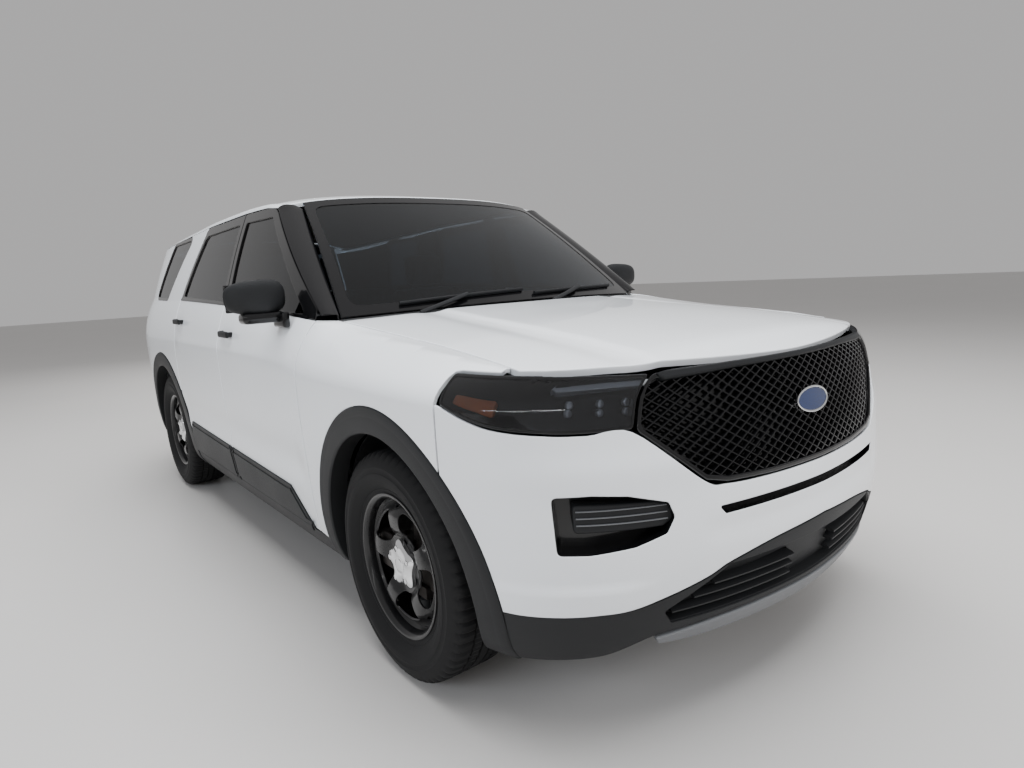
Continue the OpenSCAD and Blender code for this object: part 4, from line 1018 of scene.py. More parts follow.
SLOT = rounded([(nose_a(440, 662), 662), (-nose_a(440, 662), 662), (-nose_a(418, 638), 638),
                (nose_a(418, 638), 638)], 8)
VENT = rounded(on_nose([("x", 598, 620), ("x", 680, 596), ("x", 780, 586), ("x", 862, 588), ("x", 860, 660),
                        ("x", 850, 740), ("x", 770, 740), ("x", 690, 730), ("x", 588, 700),
                        ("x", 574, 660)]), 14)
VENT_BLADE = rounded(on_nose([("x", 552, 662), ("x", 600, 636), ("x", 812, 640), ("x", 812, 716),
                              ("x", 620, 706), ("x", 556, 690)]), 14)
MOUTH_SIDE = on_nose([("x", 400, 492), ("x", 590, 392), ("x", 560, 350)])
MOUTH = rounded(MOUTH_SIDE + [(-a, z) for a, z in MOUTH_SIDE[::-1]], 10)
SKID_LOW = on_nose([("x", 0, 268), ("x", 230, 268), ("x", 400, 270), ("x", 480, 273), ("x", 575, 284)])
SKID_HIGH = on_nose([("x", 0, 328), ("x", 230, 327), ("x", 400, 324), ("x", 480, 320), ("x", 592, 311)])


def build_front():
    """Bumper, valance, skid plate, vents, intake, grille."""
    vents = [VENT, [(-a, z) for a, z in VENT]]
    arches = [[(side_a(y) * s, z) for y, z in arch_hole(AXLE_F, ARCH_OUT + 1.5)] for s in (1, -1)]
    outline = balanced(smooth(BUMPER_LOW, 6), smooth(BUMPER_HIGH, 6))
    put("bumper_cover", skin_geometry(crease_skin, outline, [SLOT, *vents, *arches], 9, 3, 20),
        "body", "body_paint", ["front_bumper"])
    high = [(a, z - 3) for a, z in smooth(BUMPER_LOW, 6)]
    put("valance", skin_geometry(nose_skin, balanced(smooth(VALANCE_LOW, 6), high), [MOUTH, *arches], 14, 3,
                                 20),
        "body", "dark_plastic", ["front_valance"])
    skid = rounded(balanced(SKID_LOW, SKID_HIGH), 6)
    put("skid_lip", skin_geometry(nose_skin, skid, [], 16, 5, 20, lift=6), "body", "silver_plastic",
        ["skid_plate"])
    build_vents()
    build_intake()
    build_grille()


def nose_bar(x0, x1, z, rise, depth_in, width, depth, steps):
    """A bar along the nose from half width x0 to x1 at a height, rising outwards."""
    a = np.linspace(nose_a(x0, z), nose_a(x1, z), steps)
    up = z + rise * (a - a[0]) / (a[-1] - a[0])
    n = normals_of(nose_skin, a, up)
    return sweep(nose_skin(a, up) - n * depth_in, n, width, depth)


def build_vents():
    """Dark pockets at the bumper's corners, each with its blade and ribs, and the slot's pocket."""
    recess = [skin_geometry(nose_skin, grow(VENT, 2), [], 5, 1.5, 30, lift=-62),
              skin_geometry(nose_skin, grow(VENT, 5), [grow(VENT, -1.5)], 62, 1.2, 30, lift=-2)]
    put("vent_pockets", both(joined(*recess)), "body", "gloss_black")
    put("vent_blades", both(skin_geometry(nose_skin, VENT_BLADE, [], 44, 7, 14, lift=-14)), "body",
        "dark_plastic")
    ribs = [nose_bar(590, 806, z, 6, 9, 3, 6, 16) for z in (693, 675, 657)]
    solid("vent_ribs", ribs, "silver_plastic", "body", "dark_plastic", side="both")
    recess = [skin_geometry(nose_skin, grow(SLOT, 3), [], 4, 1.2, 40, lift=-40),
              skin_geometry(nose_skin, grow(SLOT, 4), [grow(SLOT, -1)], 40, 1.0, 40, lift=-3)]
    put("slot_pocket", joined(*recess), "body", "gloss_black")


def build_intake():
    """The lower intake's panel with its two openings, and the vanes across it."""
    openings = [rounded([(s * 170, 402), (s * 480, 402), (s * 470, 440), (s * 170, 452)], 8) for s in (1, -1)]
    panel = [skin_geometry(nose_skin, grow(MOUTH, 4), openings, 6, 2, 30, lift=-34),
             skin_geometry(nose_skin, grow(MOUTH, 6), [grow(MOUTH, -2)], 40, 1.5, 40, lift=-6)]
    put("intake_panel", joined(*panel), "body", "dark_plastic", ["grilles"])
    vanes = [nose_bar(120, x1, z, 0, 8, 11, 34, 24) for z, x1 in ((438, 440), (410, 500), (378, 560))]
    solid("intake_vanes", vanes, "dark_plastic", "body", "dark_plastic", side="both")


def crease_skin(a, b):
    """The nose with the bumper's folds: a ledge at the corner and a lip above the valance."""
    p = nose_skin(a, b)
    t = np.abs(a)
    x0 = nose_a(600, 600)
    corner = ease((t - x0) / 220) * ease((side_a(FRONT_Y + 470) - t) / 120)
    ledge = 9 * corner * ease((505 - b) / 26) * ease((b - 408) / 10 + 1)
    back = side_a(FRONT_Y + 500)
    brow = 6 * ease((t - nose_a(420, 700)) / 120) * ridge(b, 790, 46) * ease((back - t) / 200)
    under = -5 * ridge(b, 600, 34) * ease((nose_a(520, 600) - t) / 120)
    n = np.stack([np.sign(p[..., 0]) * 0.5 * ease((t - 400) / 600), -1 + 0 * t, 0 * t], -1)
    n /= np.linalg.norm(n, axis=-1, keepdims=True)
    return p + n * (ledge + brow + under)[..., None]


def build_grille():
    """Grille frame, the lattice of slanting bars, top strip and a plain oval badge."""
    outline = rounded(balanced(GRILLE_LOW, GRILLE_HIGH), 22)
    hole = rounded(grow(balanced(GRILLE_LOW, GRILLE_HIGH), -14), 26)
    put("grille_frame", skin_geometry(nose_skin, outline, [hole], 34, 4, 30, lift=-1), "body", "gloss_black")
    put("grille_back", skin_geometry(nose_skin, grow(outline, -4), [], 4, 1, 60, lift=-46), "body",
        "gloss_black")
    inner = np.array(hole)
    z0, z1 = inner[:, 1].min(), inner[:, 1].max()
    wide_step, tall_step, bars = sizes().lattice_width / MM, sizes().lattice_height / MM, []
    slope = tall_step / wide_step
    reach = inner[:, 0].max()
    for way in (1, -1):
        c = -reach - (z1 - z0) / slope
        while c < reach + (z1 - z0) / slope:
            z = np.arange(z0, z1, 4.5)
            a = c + way * (z - z0) / slope
            ok = inside(np.stack([a, z], 1), hole)
            runs = np.split(np.arange(len(z)), np.where(np.diff(ok.astype(int)) != 0)[0] + 1)
            for run in runs:
                if len(run) > 1 and ok[run[0]]:
                    ends = np.clip([run[0] - 1, run[-1] + 1], 0, len(z) - 1)
                    aa, zz = a[ends[0]:ends[1] + 1], z[ends[0]:ends[1] + 1]
                    n = normals_of(nose_skin, aa, zz)
                    lift = -9.0 if way > 0 else -9.6
                    bars.append(sweep(nose_skin(aa, zz) + n * lift, n, sizes().lattice_bar / MM, 15))
            c += wide_step
    solid("grille_lattice", bars, "gloss_black", "body", "gloss_black", angle=25)
    strip = balanced(on_nose([("x", 0, 1014), ("x", 300, 1013), ("x", 540, 1006)]),
                     on_nose([("x", 0, 1029), ("x", 300, 1029), ("x", 552, 1023)]))
    put("grille_strip", skin_geometry(nose_skin, strip, [], 20, 5, 30, lift=5), "body", "dark_plastic")
    oval = [(116 * math.cos(t), 884 + 38 * math.sin(t))
            for t in np.linspace(0, 2 * math.pi, 48, endpoint=False)]
    put("badge_rim", skin_geometry(nose_skin, oval, [grow(oval, -6)], 14, 2.5, 40, lift=7), "body",
        "silver_plastic",
        paint="bright_metal")
    put("badge_face", skin_geometry(nose_skin, grow(oval, -5), [], 12, 3, 40, lift=4), "body", "gloss_black",
        paint="badge_blue")


def build_headlights():
    """Each lamp: black surround, lamp bowl, light bar, two lamp blocks, amber end and smoked cover."""
    outline = rounded(smooth(LENS_LOW, 4) + smooth(LENS_HIGH, 4)[::-1], 14)
    surround = joined(skin_geometry(nose_skin, outline, [grow(outline, -9)], 60, 3, 24),
                      skin_geometry(nose_skin, grow(outline, -4), [], 4, 1, 24, lift=-56))
    put("lamp_surrounds", both(surround), "body", "gloss_black", ["headlights"])
    cover = skin_geometry(nose_skin, grow(outline, -8.2), [], 3, 1, 24, lift=-1.5)
    put("lamp_covers", both(cover), "body", "smoked_lens")
    bar = rounded(on_nose([("x", 572, 1000), ("x", 690, 1003), ("x", 800, 1003), ("x", 800, 1016),
                           ("x", 690, 1019),
                           ("x", 566, 1016)]), 4)
    put("light_bars", both(skin_geometry(nose_skin, bar, [], 26, 3, 24, lift=-12)), "body", "silver_plastic",
        paint="lamp_glow")
    amber = rounded(on_nose([("y", FRONT_Y + 390, 936), ("y", FRONT_Y + 515, 976), ("y", FRONT_Y + 515, 1002),
                             ("y", FRONT_Y + 390, 988)]), 8)
    put("amber_ends", both(skin_geometry(nose_skin, amber, [], 16, 3, 20, lift=-16)), "body", "smoked_lens",
        paint="amber_lens")
    blocks, eyes = [], []
    for x in (648, 716, 790):
        a, z = nose_a(x, 950), 952 + (x - 648) * 0.04
        blocks.append(skin_geometry(nose_skin, rounded([(a - 34, z - 33), (a + 34, z - 30),
                                                        (a + 34, z + 33), (a - 34, z + 33)], 10),
                                    [rounded([(a - 28, z - 26), (a + 28, z - 24), (a + 28, z + 27),
                                              (a - 28, z + 27)], 8)],
                                    34, 3, 24, lift=-16))
        for dz in (-13, 14):
            p = nose_skin(np.array([a]), np.array([z + dz]))[0]
            n = normals_of(nose_skin, np.array([a]), np.array([z + dz]))[0]
            v, f = round_bar((0, 0, 0), 11, 14, "y", 4, 24)
            eyes.append((v + p - n * 34, f))
    put("lamp_blocks", both(joined(*blocks)), "body", "gloss_black")
    solid("lamp_eyes", eyes, "lamp_glow", "body", "silver_plastic", side="both")


def build_fenders():
    arch = arch_hole(AXLE_F, ARCH_OUT + 1.5)
    tip = FRONT_Y + 432
    ys = np.linspace(tip, DOOR_Y0 - GAP / 2, 30)
    top = [(y, float(edge_z(y)) + 57) for y in ys]
    brow = [(tip, 1043), (FRONT_Y + 470, 1044), (FRONT_Y + 545, 1046), (AXLE_F - 362, 1043)]
    outline = smooth(FENDER_LOW, 3) + top[::-1] + brow + [(AXLE_F - 357, 1030), (AXLE_F - 357, 1005)]
    put("fender_skins", both(skin_geometry(fender_skin, outline, [arch], 12, 2.5, 18)), "body",
        "body_paint", ["fenders"])


def build_hood():
    v = np.linspace(0, 1, 22)
    x, y = hood_side(v)[:2]
    right = list(zip(x.tolist(), y.tolist()))
    c = np.linspace(-1, 1, 40)
    rear = [(836 * t, DOOR_Y0 - 232 + 120 * t * t) for t in c[::-1]]
    front = [(HOOD_FRONT_X * t, float(nose_at(HOOD_FRONT_X * abs(t), 1045.0)) + GAP) for t in c]
    outline = front + right[1:-1] + rear + [(-a, b) for a, b in right[::-1][1:-1]]
    put("hood_skin", skin_geometry(hood_skin, outline, [], 20, 4, 16), "hood", "body_paint", ["hood"],
        inner="structure_steel")


def build_roof():
    ys = np.linspace(-372, GATE_Y, 30)
    edge = [(float(ditch_x(y)), y) for y in ys]
    c = np.linspace(-1, 1, 24)
    front = [(edge[0][0] * t, DOOR_Y0 + 541 + 81 * (edge[0][0] * t / 659) ** 2) for t in c]
    outline = front + edge[1:] + [(-x, y) for x, y in edge[::-1][:-1]]
    put("roof_skin", skin_geometry(roof_skin, outline, [], 20, 4, 40), "body", "body_paint", ["roof"],
        inner="head_lining")
    # mouldings in the ditches between the roof and its rails
    ys = np.linspace(-356, GATE_Y - 20, 60)
    x = ditch_x(ys) + 4
    p = np.stack([x, ys, roof_z(x, ys) - 6], -1)
    seam = sweep(p, np.repeat([[0.25, 0, 1.0]], len(ys), 0), 12, 12)
    solid("ditch_mouldings", seam, "gloss_black", "body", "gloss_black", side="both")


def rail_section(y):
    """Cross-section of the windshield pillar and roof rail, rounded."""
    z1 = float(head_z(y)) + GAP
    p1 = np.array([float(skin_x(y, z1)) - 2, y, z1])
    t = np.clip((y - GLASS_BASE[1]) / (GLASS_TOP[1] - GLASS_BASE[1]), 0, 1)
    pillar = (1 - t) * np.array(GLASS_BASE) + t * np.array(GLASS_TOP) + [5, 0, 0]
    xd = float(ditch_x(y)) + 5
    blend = float(ease((y - GLASS_TOP[1] + 6) / 14))
    roof_point = np.array([xd, y, float(roof_z(xd, y)) - 2])
    p2 = (1 - blend) * np.array([pillar[0], y, pillar[2]]) + blend * roof_point
    pm = (p1 + p2) / 2 + [9, 0, 9]
    p3, p4 = p2 + [3, 0, -34], p1 + [-60, 0, 0]
    arc = [(1 - k) ** 2 * p1 + 2 * k * (1 - k) * (2 * pm - (p1 + p2) / 2) + k * k * p2
           for k in np.linspace(0, 1, 9)]
    return np.array(arc + [p3, (p3 + p4) / 2, p4])


def build_sides():
    """Pillars, roof rails, quarter panels, rear side glass and fuel door."""
    pillar_end = GLASS_TOP[1] + 2
    parts = [tube([rail_section(y) for y in np.linspace(DOOR_Y0 - 34, pillar_end, 26)])]
    rail = tube([rail_section(y) for y in np.linspace(pillar_end + 0.5, GATE_Y - 4, 56)])
    solid("roof_rails", rail, "body_paint", "body", "body_paint", side="both", angle=40)
    m = DOOR_Y1
    for lo, hi in [((770, AXLE_F + ARCH_OUT + 8, SILL_Z + 22), (900, AXLE_R - ARCH_OUT - 8, DOOR_Z - 8)),
                   ((776, DOOR_Y0 - 107, SILL_Z + 30), (862, DOOR_Y0 - 9, BELT_F - 46)),
                   ((772, m - 43, SILL_Z + 40), (828, m + 43, BELT_F + 40))]:
        parts.append(soft_box(lo, hi, 8))

    def lean(obj):
        for v in obj.data.vertices:
            if v.co.z * 1000 > BELT_F + 300:
                v.co.x -= 0.066
    parts.append(soft_box((778, m - 43, BELT_F + 30), (808, m + 43, RAIL_Z - 4), 6, taper=lean))
    solid("pillars_and_rails", parts, "gloss_black", "body", "gloss_black", "side_frames", side="both",
          angle=40)
    front = [(DOOR_Y2 + GAP / 2, REAR_BUMPER_Z + 3), (DOOR_Y2 + GAP / 2, float(edge_z(DOOR_Y2)))]
    crown = [(DOOR_Y2 - 277, float(head_z(DOOR_Y2 - 280)) + 4),
             (REAR_Y - 925, float(head_z(REAR_Y - 925)) + 3)]
    back = [(gate_s(z, GAP), z) for z in np.linspace(RAIL_Z - 92, REAR_BUMPER_Z + 3, 24)]
    outline = turned(front + crown + back)
    lamp = [(gate_s(940, GAP) + 30, 940), (gate_s(940, GAP), 940), (REAR_Y - 300, 952), (REAR_Y - 452, 1032),
            (REAR_Y - 436, 1128), (REAR_Y - 300, 1146), (gate_s(1140, GAP), 1148),
            (gate_s(1140, GAP) + 30, 1148)]
    fuel = rounded([(AXLE_R + 205, 985), (AXLE_R + 375, 985), (AXLE_R + 375, 1150), (AXLE_R + 205, 1150)], 22)
    window = rounded(QUARTER_WINDOW, 16)
    arch = arch_hole(AXLE_R, ARCH_OUT + 1.5)
    left = skin_geometry(side_skin, outline, [grow(window, 22), lamp, fuel, arch], 26, 3, 18)
    right = skin_geometry(side_skin, outline, [grow(window, 22), lamp, arch], 26, 3, 18)
    put("quarter_skin_left", left, "body", "body_paint", ["quarter_left"], inner="cabin_trim")
    put("quarter_skin_right", mirrored(right), "body", "body_paint", ["quarter_right"], inner="cabin_trim")
    surround = skin_geometry(side_skin, grow(window, 21), [window], 30, 3, 24, lift=-0.6)
    put("quarter_window_frames", both(surround), "body", "gloss_black")
    put("quarter_windows", both(skin_geometry(side_skin, grow(window, 8), [], 5, 1, 30, lift=-8)),
        "body", "tinted_glass", ["quarter_glass"])
    lid = skin_geometry(side_skin, grow(fuel, -3), [], 8, 2.5, 24)
    put("fuel_lid", lid, "fuel_door", "body_paint", ["fuel_door"])
    well = [skin_geometry(side_skin, grow(fuel, 4), [grow(fuel, -0.5)], 40, 1, 40, lift=-3),
            skin_geometry(side_skin, grow(fuel, 3), [], 4, 1, 40, lift=-43)]
    put("fuel_well", joined(*well), "body", "dark_plastic")


FRONT_HANDLE = (-112, 1088)
REAR_HANDLE = (868, 1128)


def door_parts(side, which):
    """One door: painted skin with inner trim, window frame, belt moulding, glass and handle."""
    if which == "front":
        y0, y1, tops, window, handle = DOOR_Y0 + 3, FRONT_Y1, FRONT_TOP, FRONT_WINDOW, FRONT_HANDLE
    else:
        y0, y1, tops, window, handle = REAR_Y0, REAR_Y1, REAR_TOP, REAR_WINDOW, REAR_HANDLE
    handle_y, handle_z = handle
    body = f"{which}_{side}_door"
    low = belt(y0, y1, -1.0)
    outline = [(y0, DOOR_Z), (y1, DOOR_Z)] + low[::-1]
    arch = [arch_hole(AXLE_R, ARCH_OUT + GAP)] if which == "rear" else []
    skin = skin_geometry(door_skin, outline, arch, 92, 3, 18)
    put(f"{which}_door_skin_{side}", sides(skin, side), body, "body_paint", [f"{which}_door_{side}"],
        inner="cabin_trim")
    pane = rounded(window, 12)
    frame_line = turned(belt(y0, y1, 1.0) + smooth(tops, 3)[::-1])
    put(f"{which}_door_frame_{side}", sides(skin_geometry(side_skin, frame_line, [pane], 38, 3, 24), side),
        body, "gloss_black")
    glass = skin_geometry(side_skin, grow(pane, 7), [], 5, 1, 30, lift=-8)
    put(f"{which}_door_window_{side}", sides(glass, side), body,
        "clear_glass" if which == "front" else "tinted_glass", [f"{which}_door_glass_{side}"],
        paint="tinted_glass")
    # cladding at the foot of the door, with a second step inside it
    ys = np.linspace(y0 + 4, y1 - 4, 20)
    z_top = [478 + 58 * (y - DOOR_Y0) / (DOOR_Y2 - DOOR_Y0) for y in ys]
    upper = list(zip(ys, z_top))[::-1]
    if which == "front":
        clad = [(y0 + 40, DOOR_Z + 3), (y1 - 3, DOOR_Z + 3)] + [p for p in upper if p[0] > y0 + 190]
    else:
        clad = [(y0 + 3, DOOR_Z + 3), (y1 - 3, DOOR_Z + 3)] + [p for p in upper if p[0] < y1 - 130]
    wall = skin_geometry(door_skin, rounded(turned(clad), 5), arch, 8, 3, 22, lift=6)
    inner_step = grow(rounded(turned(clad), 5), -22)
    step = skin_geometry(door_skin, inner_step, [grow(a, 22) for a in arch], 6, 3, 22, lift=10.5)
    put(f"{which}_door_cladding_{side}", sides(joined(wall, step), side), body, "dark_plastic")
    ys = np.linspace(y0 + 60 if which == "front" else y0 + 4, y1 - 12, 30)
    zz = edge_z(ys) + 4
    n = normals_of(side_skin, ys, zz)
    strip = sweep(side_skin(ys, zz) + n * 3.5, n, 15, 6)
    solid(f"{which}_belt_moulding_{side}", strip, "gloss_black", body, "gloss_black", side=side)
    # handle: a paddle on two feet, and its lock
    x = float(skin_x(handle_y, handle_z))
    paddle = soft_box((x + 15, handle_y - 84, handle_z - 15), (x + 31, handle_y + 58, handle_z + 15), 7.5, 5)
    foot1 = soft_box((x - 4, handle_y - 80, handle_z - 12), (x + 20, handle_y - 58, handle_z + 12), 5)
    foot2 = soft_box((x - 4, handle_y + 32, handle_z - 12), (x + 20, handle_y + 54, handle_z + 12), 5)
    lock = round_bar((x + 2, handle_y + 76, handle_z), 15, 34, "x", 3, 32)
    solid(f"{which}_door_handle_{side}", [paddle, foot1, foot2, lock], "dark_plastic", body, "dark_plastic",
          side=side)
    arm = soft_box((x - 150, y0 + 260, 800), (x - 84, y1 - 130, 842), 16)
    pocket = soft_box((x - 138, y0 + 300, 420), (x - 88, y1 - 160, 560), 20)
    solid(f"{which}_door_armrest_{side}", [arm, pocket], "cabin_trim", body, "cabin_trim", side=side)


def door_skin(a, b):
    """The side with the doors' fold below the handles and the hollow above the sills."""
    p = side_skin(a, b)
    fold = 3.5 * ridge(b, 1010, 34) - 7 * ridge(b, 610, 70) + 4 * ridge(b, 520, 50)
    fade = ease((a - DOOR_Y0 - 2) / 120) * ease((DOOR_Y2 - 2 - a) / 120)
    low = ease((b - 1100) / 40)
    p[..., 0] += fold * fade * (1 - low)
    return p


def build_cladding():
    """Arch rings and sills."""
    parts = []
    for y in (AXLE_F, AXLE_R):
        a0 = math.degrees(math.asin((ARCH_Z - SILL_Z - 6) / ARCH_OUT))
        rows = []
        for a in np.radians(np.linspace(-a0, 180 + a0, 110)):
            def at(r, out):
                py, pz = y - r * math.cos(a), ARCH_Z + r * math.sin(a)
                return [float(skin_x(py, pz)) + out, py, pz]
            rows.append([at(ARCH_OUT, -10), at(ARCH_OUT, 1), at(ARCH_OUT - 3, 4), at(ARCH_OUT - 24, 6),
                         at(ARCH_OUT - 30, 5),
                         at(ARCH_OUT - 34, 5), at(ARCH_R + 9, 6), at(ARCH_R + 3, 4), at(ARCH_R, 0),
                         at(ARCH_R, -30),
                         at(ARCH_R, -66), at(ARCH_R + 5, -66), at(ARCH_R + 6, -12)])
        parts.append(tube(rows))
    solid("arch_rings", parts, "dark_plastic", "body", "dark_plastic", "arch_cladding", side="both")
    y0, y1 = AXLE_F + ARCH_OUT - 120, AXLE_R - ARCH_OUT + 120
    outline = [(y0, SILL_Z), (y1, SILL_Z), (y1, DOOR_Z - 6), (y0, DOOR_Z - 6)]
    holes = [arch_hole(AXLE_F, ARCH_OUT + 1.5), arch_hole(AXLE_R, ARCH_OUT + 1.5)]
    put("sill_cladding", both(skin_geometry(side_skin, outline, holes, 16, 4, 24)), "body", "dark_plastic",
        ["rocker_cladding"])


def build_rear():
    """Tailgate with its glass and spoiler, lamps, bumper."""
    ends = [0, 300, 520, 700, 800]

    def tail_line(z, end):
        a = [(float(s_of_x(False, x, z)) - WRAP_R, z)
             for x in ends] + [(REAR_Y - 300 - WRAP_R, z), (end - WRAP_R, z)]
        return [(-p, q) for p, q in a]

    def across_tail(low, high):
        return [(-a, z) for a,
                z in low[::-1] if a > 1] + low + high[::-1] + [(-a, z) for a, z in high if a > 1]
    arches = [[(s * (WRAP_R - y), z) for y, z in arch_hole(AXLE_R, ARCH_OUT + 1.5)] for s in (1, -1)]
    put("rear_bumper_cover", skin_geometry(tail_skin,
                                           across_tail(tail_line(456, AXLE_R + ARCH_OUT - 60),
                                                       tail_line(702, AXLE_R + ARCH_OUT - 90)),
        arches, 9, 3, 22), "body", "body_paint", ["rear_bumper"])
    put("rear_bumper_valance", skin_geometry(tail_skin,
                                             across_tail(tail_line(300, AXLE_R + ARCH_OUT - 10),
                                                         tail_line(453, AXLE_R + ARCH_OUT - 30)),
        arches, 14, 3, 22), "body", "dark_plastic", ["rear_valance"])
    pad = across_tail([(0, 664), (520, 664)], [(0, 694), (530, 694)])
    put("bumper_step_pad", skin_geometry(tail_skin, rounded(pad, 8), [], 8, 2, 30, lift=3), "body",
        "dark_plastic")
    reflectors = skin_geometry(tail_skin, rounded([(560, 398), (690, 398), (690, 424), (560, 424)], 6), [],
                               8, 2, 30, lift=2)
    put("rear_reflectors", both(reflectors), "body", "red_lens")
    zs = np.linspace(REAR_BUMPER_Z + GAP, RAIL_Z - 22, 30)
    edge = [(float(gate_x(z)), z) for z in zs]
    crown_x = np.linspace(590, -590, 24)
    crown = [(x, float(roof_z(x, tail_at(x, RAIL_Z - 40.0))) - 14) for x in crown_x]
    outline = turned(edge + crown + [(-x, z) for x, z in edge[::-1]])
    window = rounded([(-636, BELT_R + 14), (-590, RAIL_Z - 96), (-560, RAIL_Z - 78), (560, RAIL_Z - 78),
                      (590, RAIL_Z - 96), (636, BELT_R + 14), (600, BELT_R + 2), (-600, BELT_R + 2)], 10)
    skin = skin_geometry(gate_out, outline, [window], 56, 4, 22)
    put("tailgate_skin", skin, "liftgate", "body_paint", ["liftgate"], inner="cabin_trim")
    put("tailgate_window", skin_geometry(gate_out, grow(window, 10), [], 5, 1, 40, lift=-8), "liftgate",
        "tinted_glass", ["liftgate_glass"])
    y0 = GATE_Y + GAP + 2
    c = np.linspace(-1, 1, 30)
    back = [(630 * t, REAR_Y - 190 - 40 * t * t) for t in c[::-1]]
    spoiler = [(-644, y0), (644, y0)] + back
    put("spoiler", skin_geometry(roof_skin, spoiler, [], 28, 8, 24), "liftgate", "body_paint")
    # lamps at the corners of the tail
    lens = [(gate_s(940, 8), 943), (REAR_Y - 300, 955), (REAR_Y - 446, 1036), (REAR_Y - 432, 1125),
            (REAR_Y - 300, 1143), (gate_s(1145, 8), 1145)]
    lens = rounded(turned(lens), 10)
    put("tail_lamp_covers", both(skin_geometry(side_skin, lens, [], 6, 3, 20, lift=2)), "body", "red_lens",
        ["tail_lights"])
    put("tail_lamp_bowls", both(skin_geometry(side_skin, grow(lens, -1), [], 30, 2, 30, lift=-14)), "body",
        "gloss_black")
    strip = rounded([(gate_s(1000, 8) - 14, 1010), (REAR_Y - 310, 1018), (REAR_Y - 410, 1060),
                     (REAR_Y - 404, 1082),
                     (REAR_Y - 300, 1072), (gate_s(1070, 8) - 14, 1068)][::-1], 6)
    put("tail_light_strips", both(skin_geometry(side_skin, turned(strip), [], 10, 2, 24, lift=-5)), "body",
        "silver_plastic")
    # grip above the plate, and the wiper
    bar = rounded([(-330, 1010), (330, 1010), (330, 1052), (-330, 1052)], 12)
    put("tailgate_grip", skin_geometry(gate_out, bar, [], 22, 6, 40, lift=14), "liftgate", "dark_plastic")
    wiper = [gate_out(np.array([x]), np.array([BELT_R + 22.0 + 0.02 * x]))[0] + [0, 16, 6]
             for x in np.linspace(-20, 330, 20)]
    stem = round_bar(tuple(gate_out(np.array([-20.0]), np.array([BELT_R + 4.0]))[0] + [0, 8, 6]), 20, 26,
                     "y", 5, 32)
    solid("tailgate_wiper", [sweep(wiper, np.repeat([[0, 1.0, 0.2]], 20, 0), 12, 10), stem], "dark_plastic",
          "liftgate", "dark_plastic")


def gate_out(a, b):
    """The tailgate's outside, turned so that its first direction runs to the right."""
    p = gate_skin(-a, b)
    fold = -14 * ease((b - 760) / 40) * ease((1000 - b) / 40) * ease((300 - np.abs(a)) / 40)
    p[..., 1] += fold
    return p


def build_glass():
    """Windshield with its black border, cowl panel and wipers."""
    def shield(a, b):
        return shield_skin(a / 815, b / 870)
    c = np.linspace(-815, 815, 40)
    outline = [(a, 2) for a in c] + [(a, 868) for a in c[::-1]]
    hole = rounded([(-768, 60), (768, 60), (768, 812), (-768, 812)], 60)
    put("windshield_glass", skin_geometry(shield, outline, [], 5, 1.2, 40), "body", "clear_glass",
        ["windshield"])
    put("windshield_border", skin_geometry(shield, [(a * 0.995, b * 0.996 + 2) for a, b in outline], [hole],
                                           2, 0.5, 40, lift=2.2), "body", "gloss_black")
    lines = []
    for w0, w1, b0, b1 in [(-585, 10, 40, 66), (60, 660, 36, 62)]:
        a, b = np.linspace(w0, w1, 30), np.linspace(b0, b1, 30)
        n = normals_of(shield, a, b)
        p = shield(a, b) + n * 19
        lines.append(sweep(p, n, 13, 14))
        lines.append(sweep(p - n * 12, n, 4, 6))
        arm_a, arm_b = np.linspace(w0 + 300, w0 + 60, 12), np.linspace(b0 + 12, -34, 12)
        na = normals_of(shield, arm_a, np.clip(arm_b, 0, 900))
        lines.append(sweep(shield(arm_a, arm_b) + na * 26, na, 18, 9))
    solid("wiper_set", lines, "dark_plastic", "body", "dark_plastic", "wipers")
    # cowl panel between the hood and the glass
    xs = np.linspace(-822, 822, 60)
    h, q = np.abs(xs) / 836, xs / 815
    y0 = DOOR_Y0 - 232 + 120 * h * h + 7
    y1 = GLASS_BASE[1] - 139 * (1 - np.clip(q, -1, 1) ** 2) - 2
    z0, z1 = hood_z(xs, y0) - 8, COWL_Z - 10 - 17 * q * q
    k, rows = 9, []
    for j in np.linspace(0, 1, k):
        ridge = 2.2 * (np.round(j * (k - 1)) % 2)
        rows.append(np.stack([xs, y0 + (y1 - y0) * j, z0 + (z1 - z0) * j + ridge], -1))
    top = np.stack(rows, 1)
    ring = np.concatenate([top, top[:, ::-1] - [0, 0, 18]], 1)
    solid("cowl_panel", tube(ring), "dark_plastic", "body", "dark_plastic", angle=20)


def wheel_face(a, b):
    """The pressed disc of a wheel: a and b in its plane, pressed in and out by the radius."""
    r = np.hypot(a, b)
    rows = [(0, 74), (58, 74), (74, 66), (96, 72), (118, 86), (150, 90), (176, 84), (196, 66), (212, 52),
            (230, 50)]
    spoke = np.cos(5 * np.arctan2(b, a)) * 4 * ease((r - 84) / 20) * ease((186 - r) / 20)
    return np.stack([curve(rows, r) + spoke, a, b], -1)


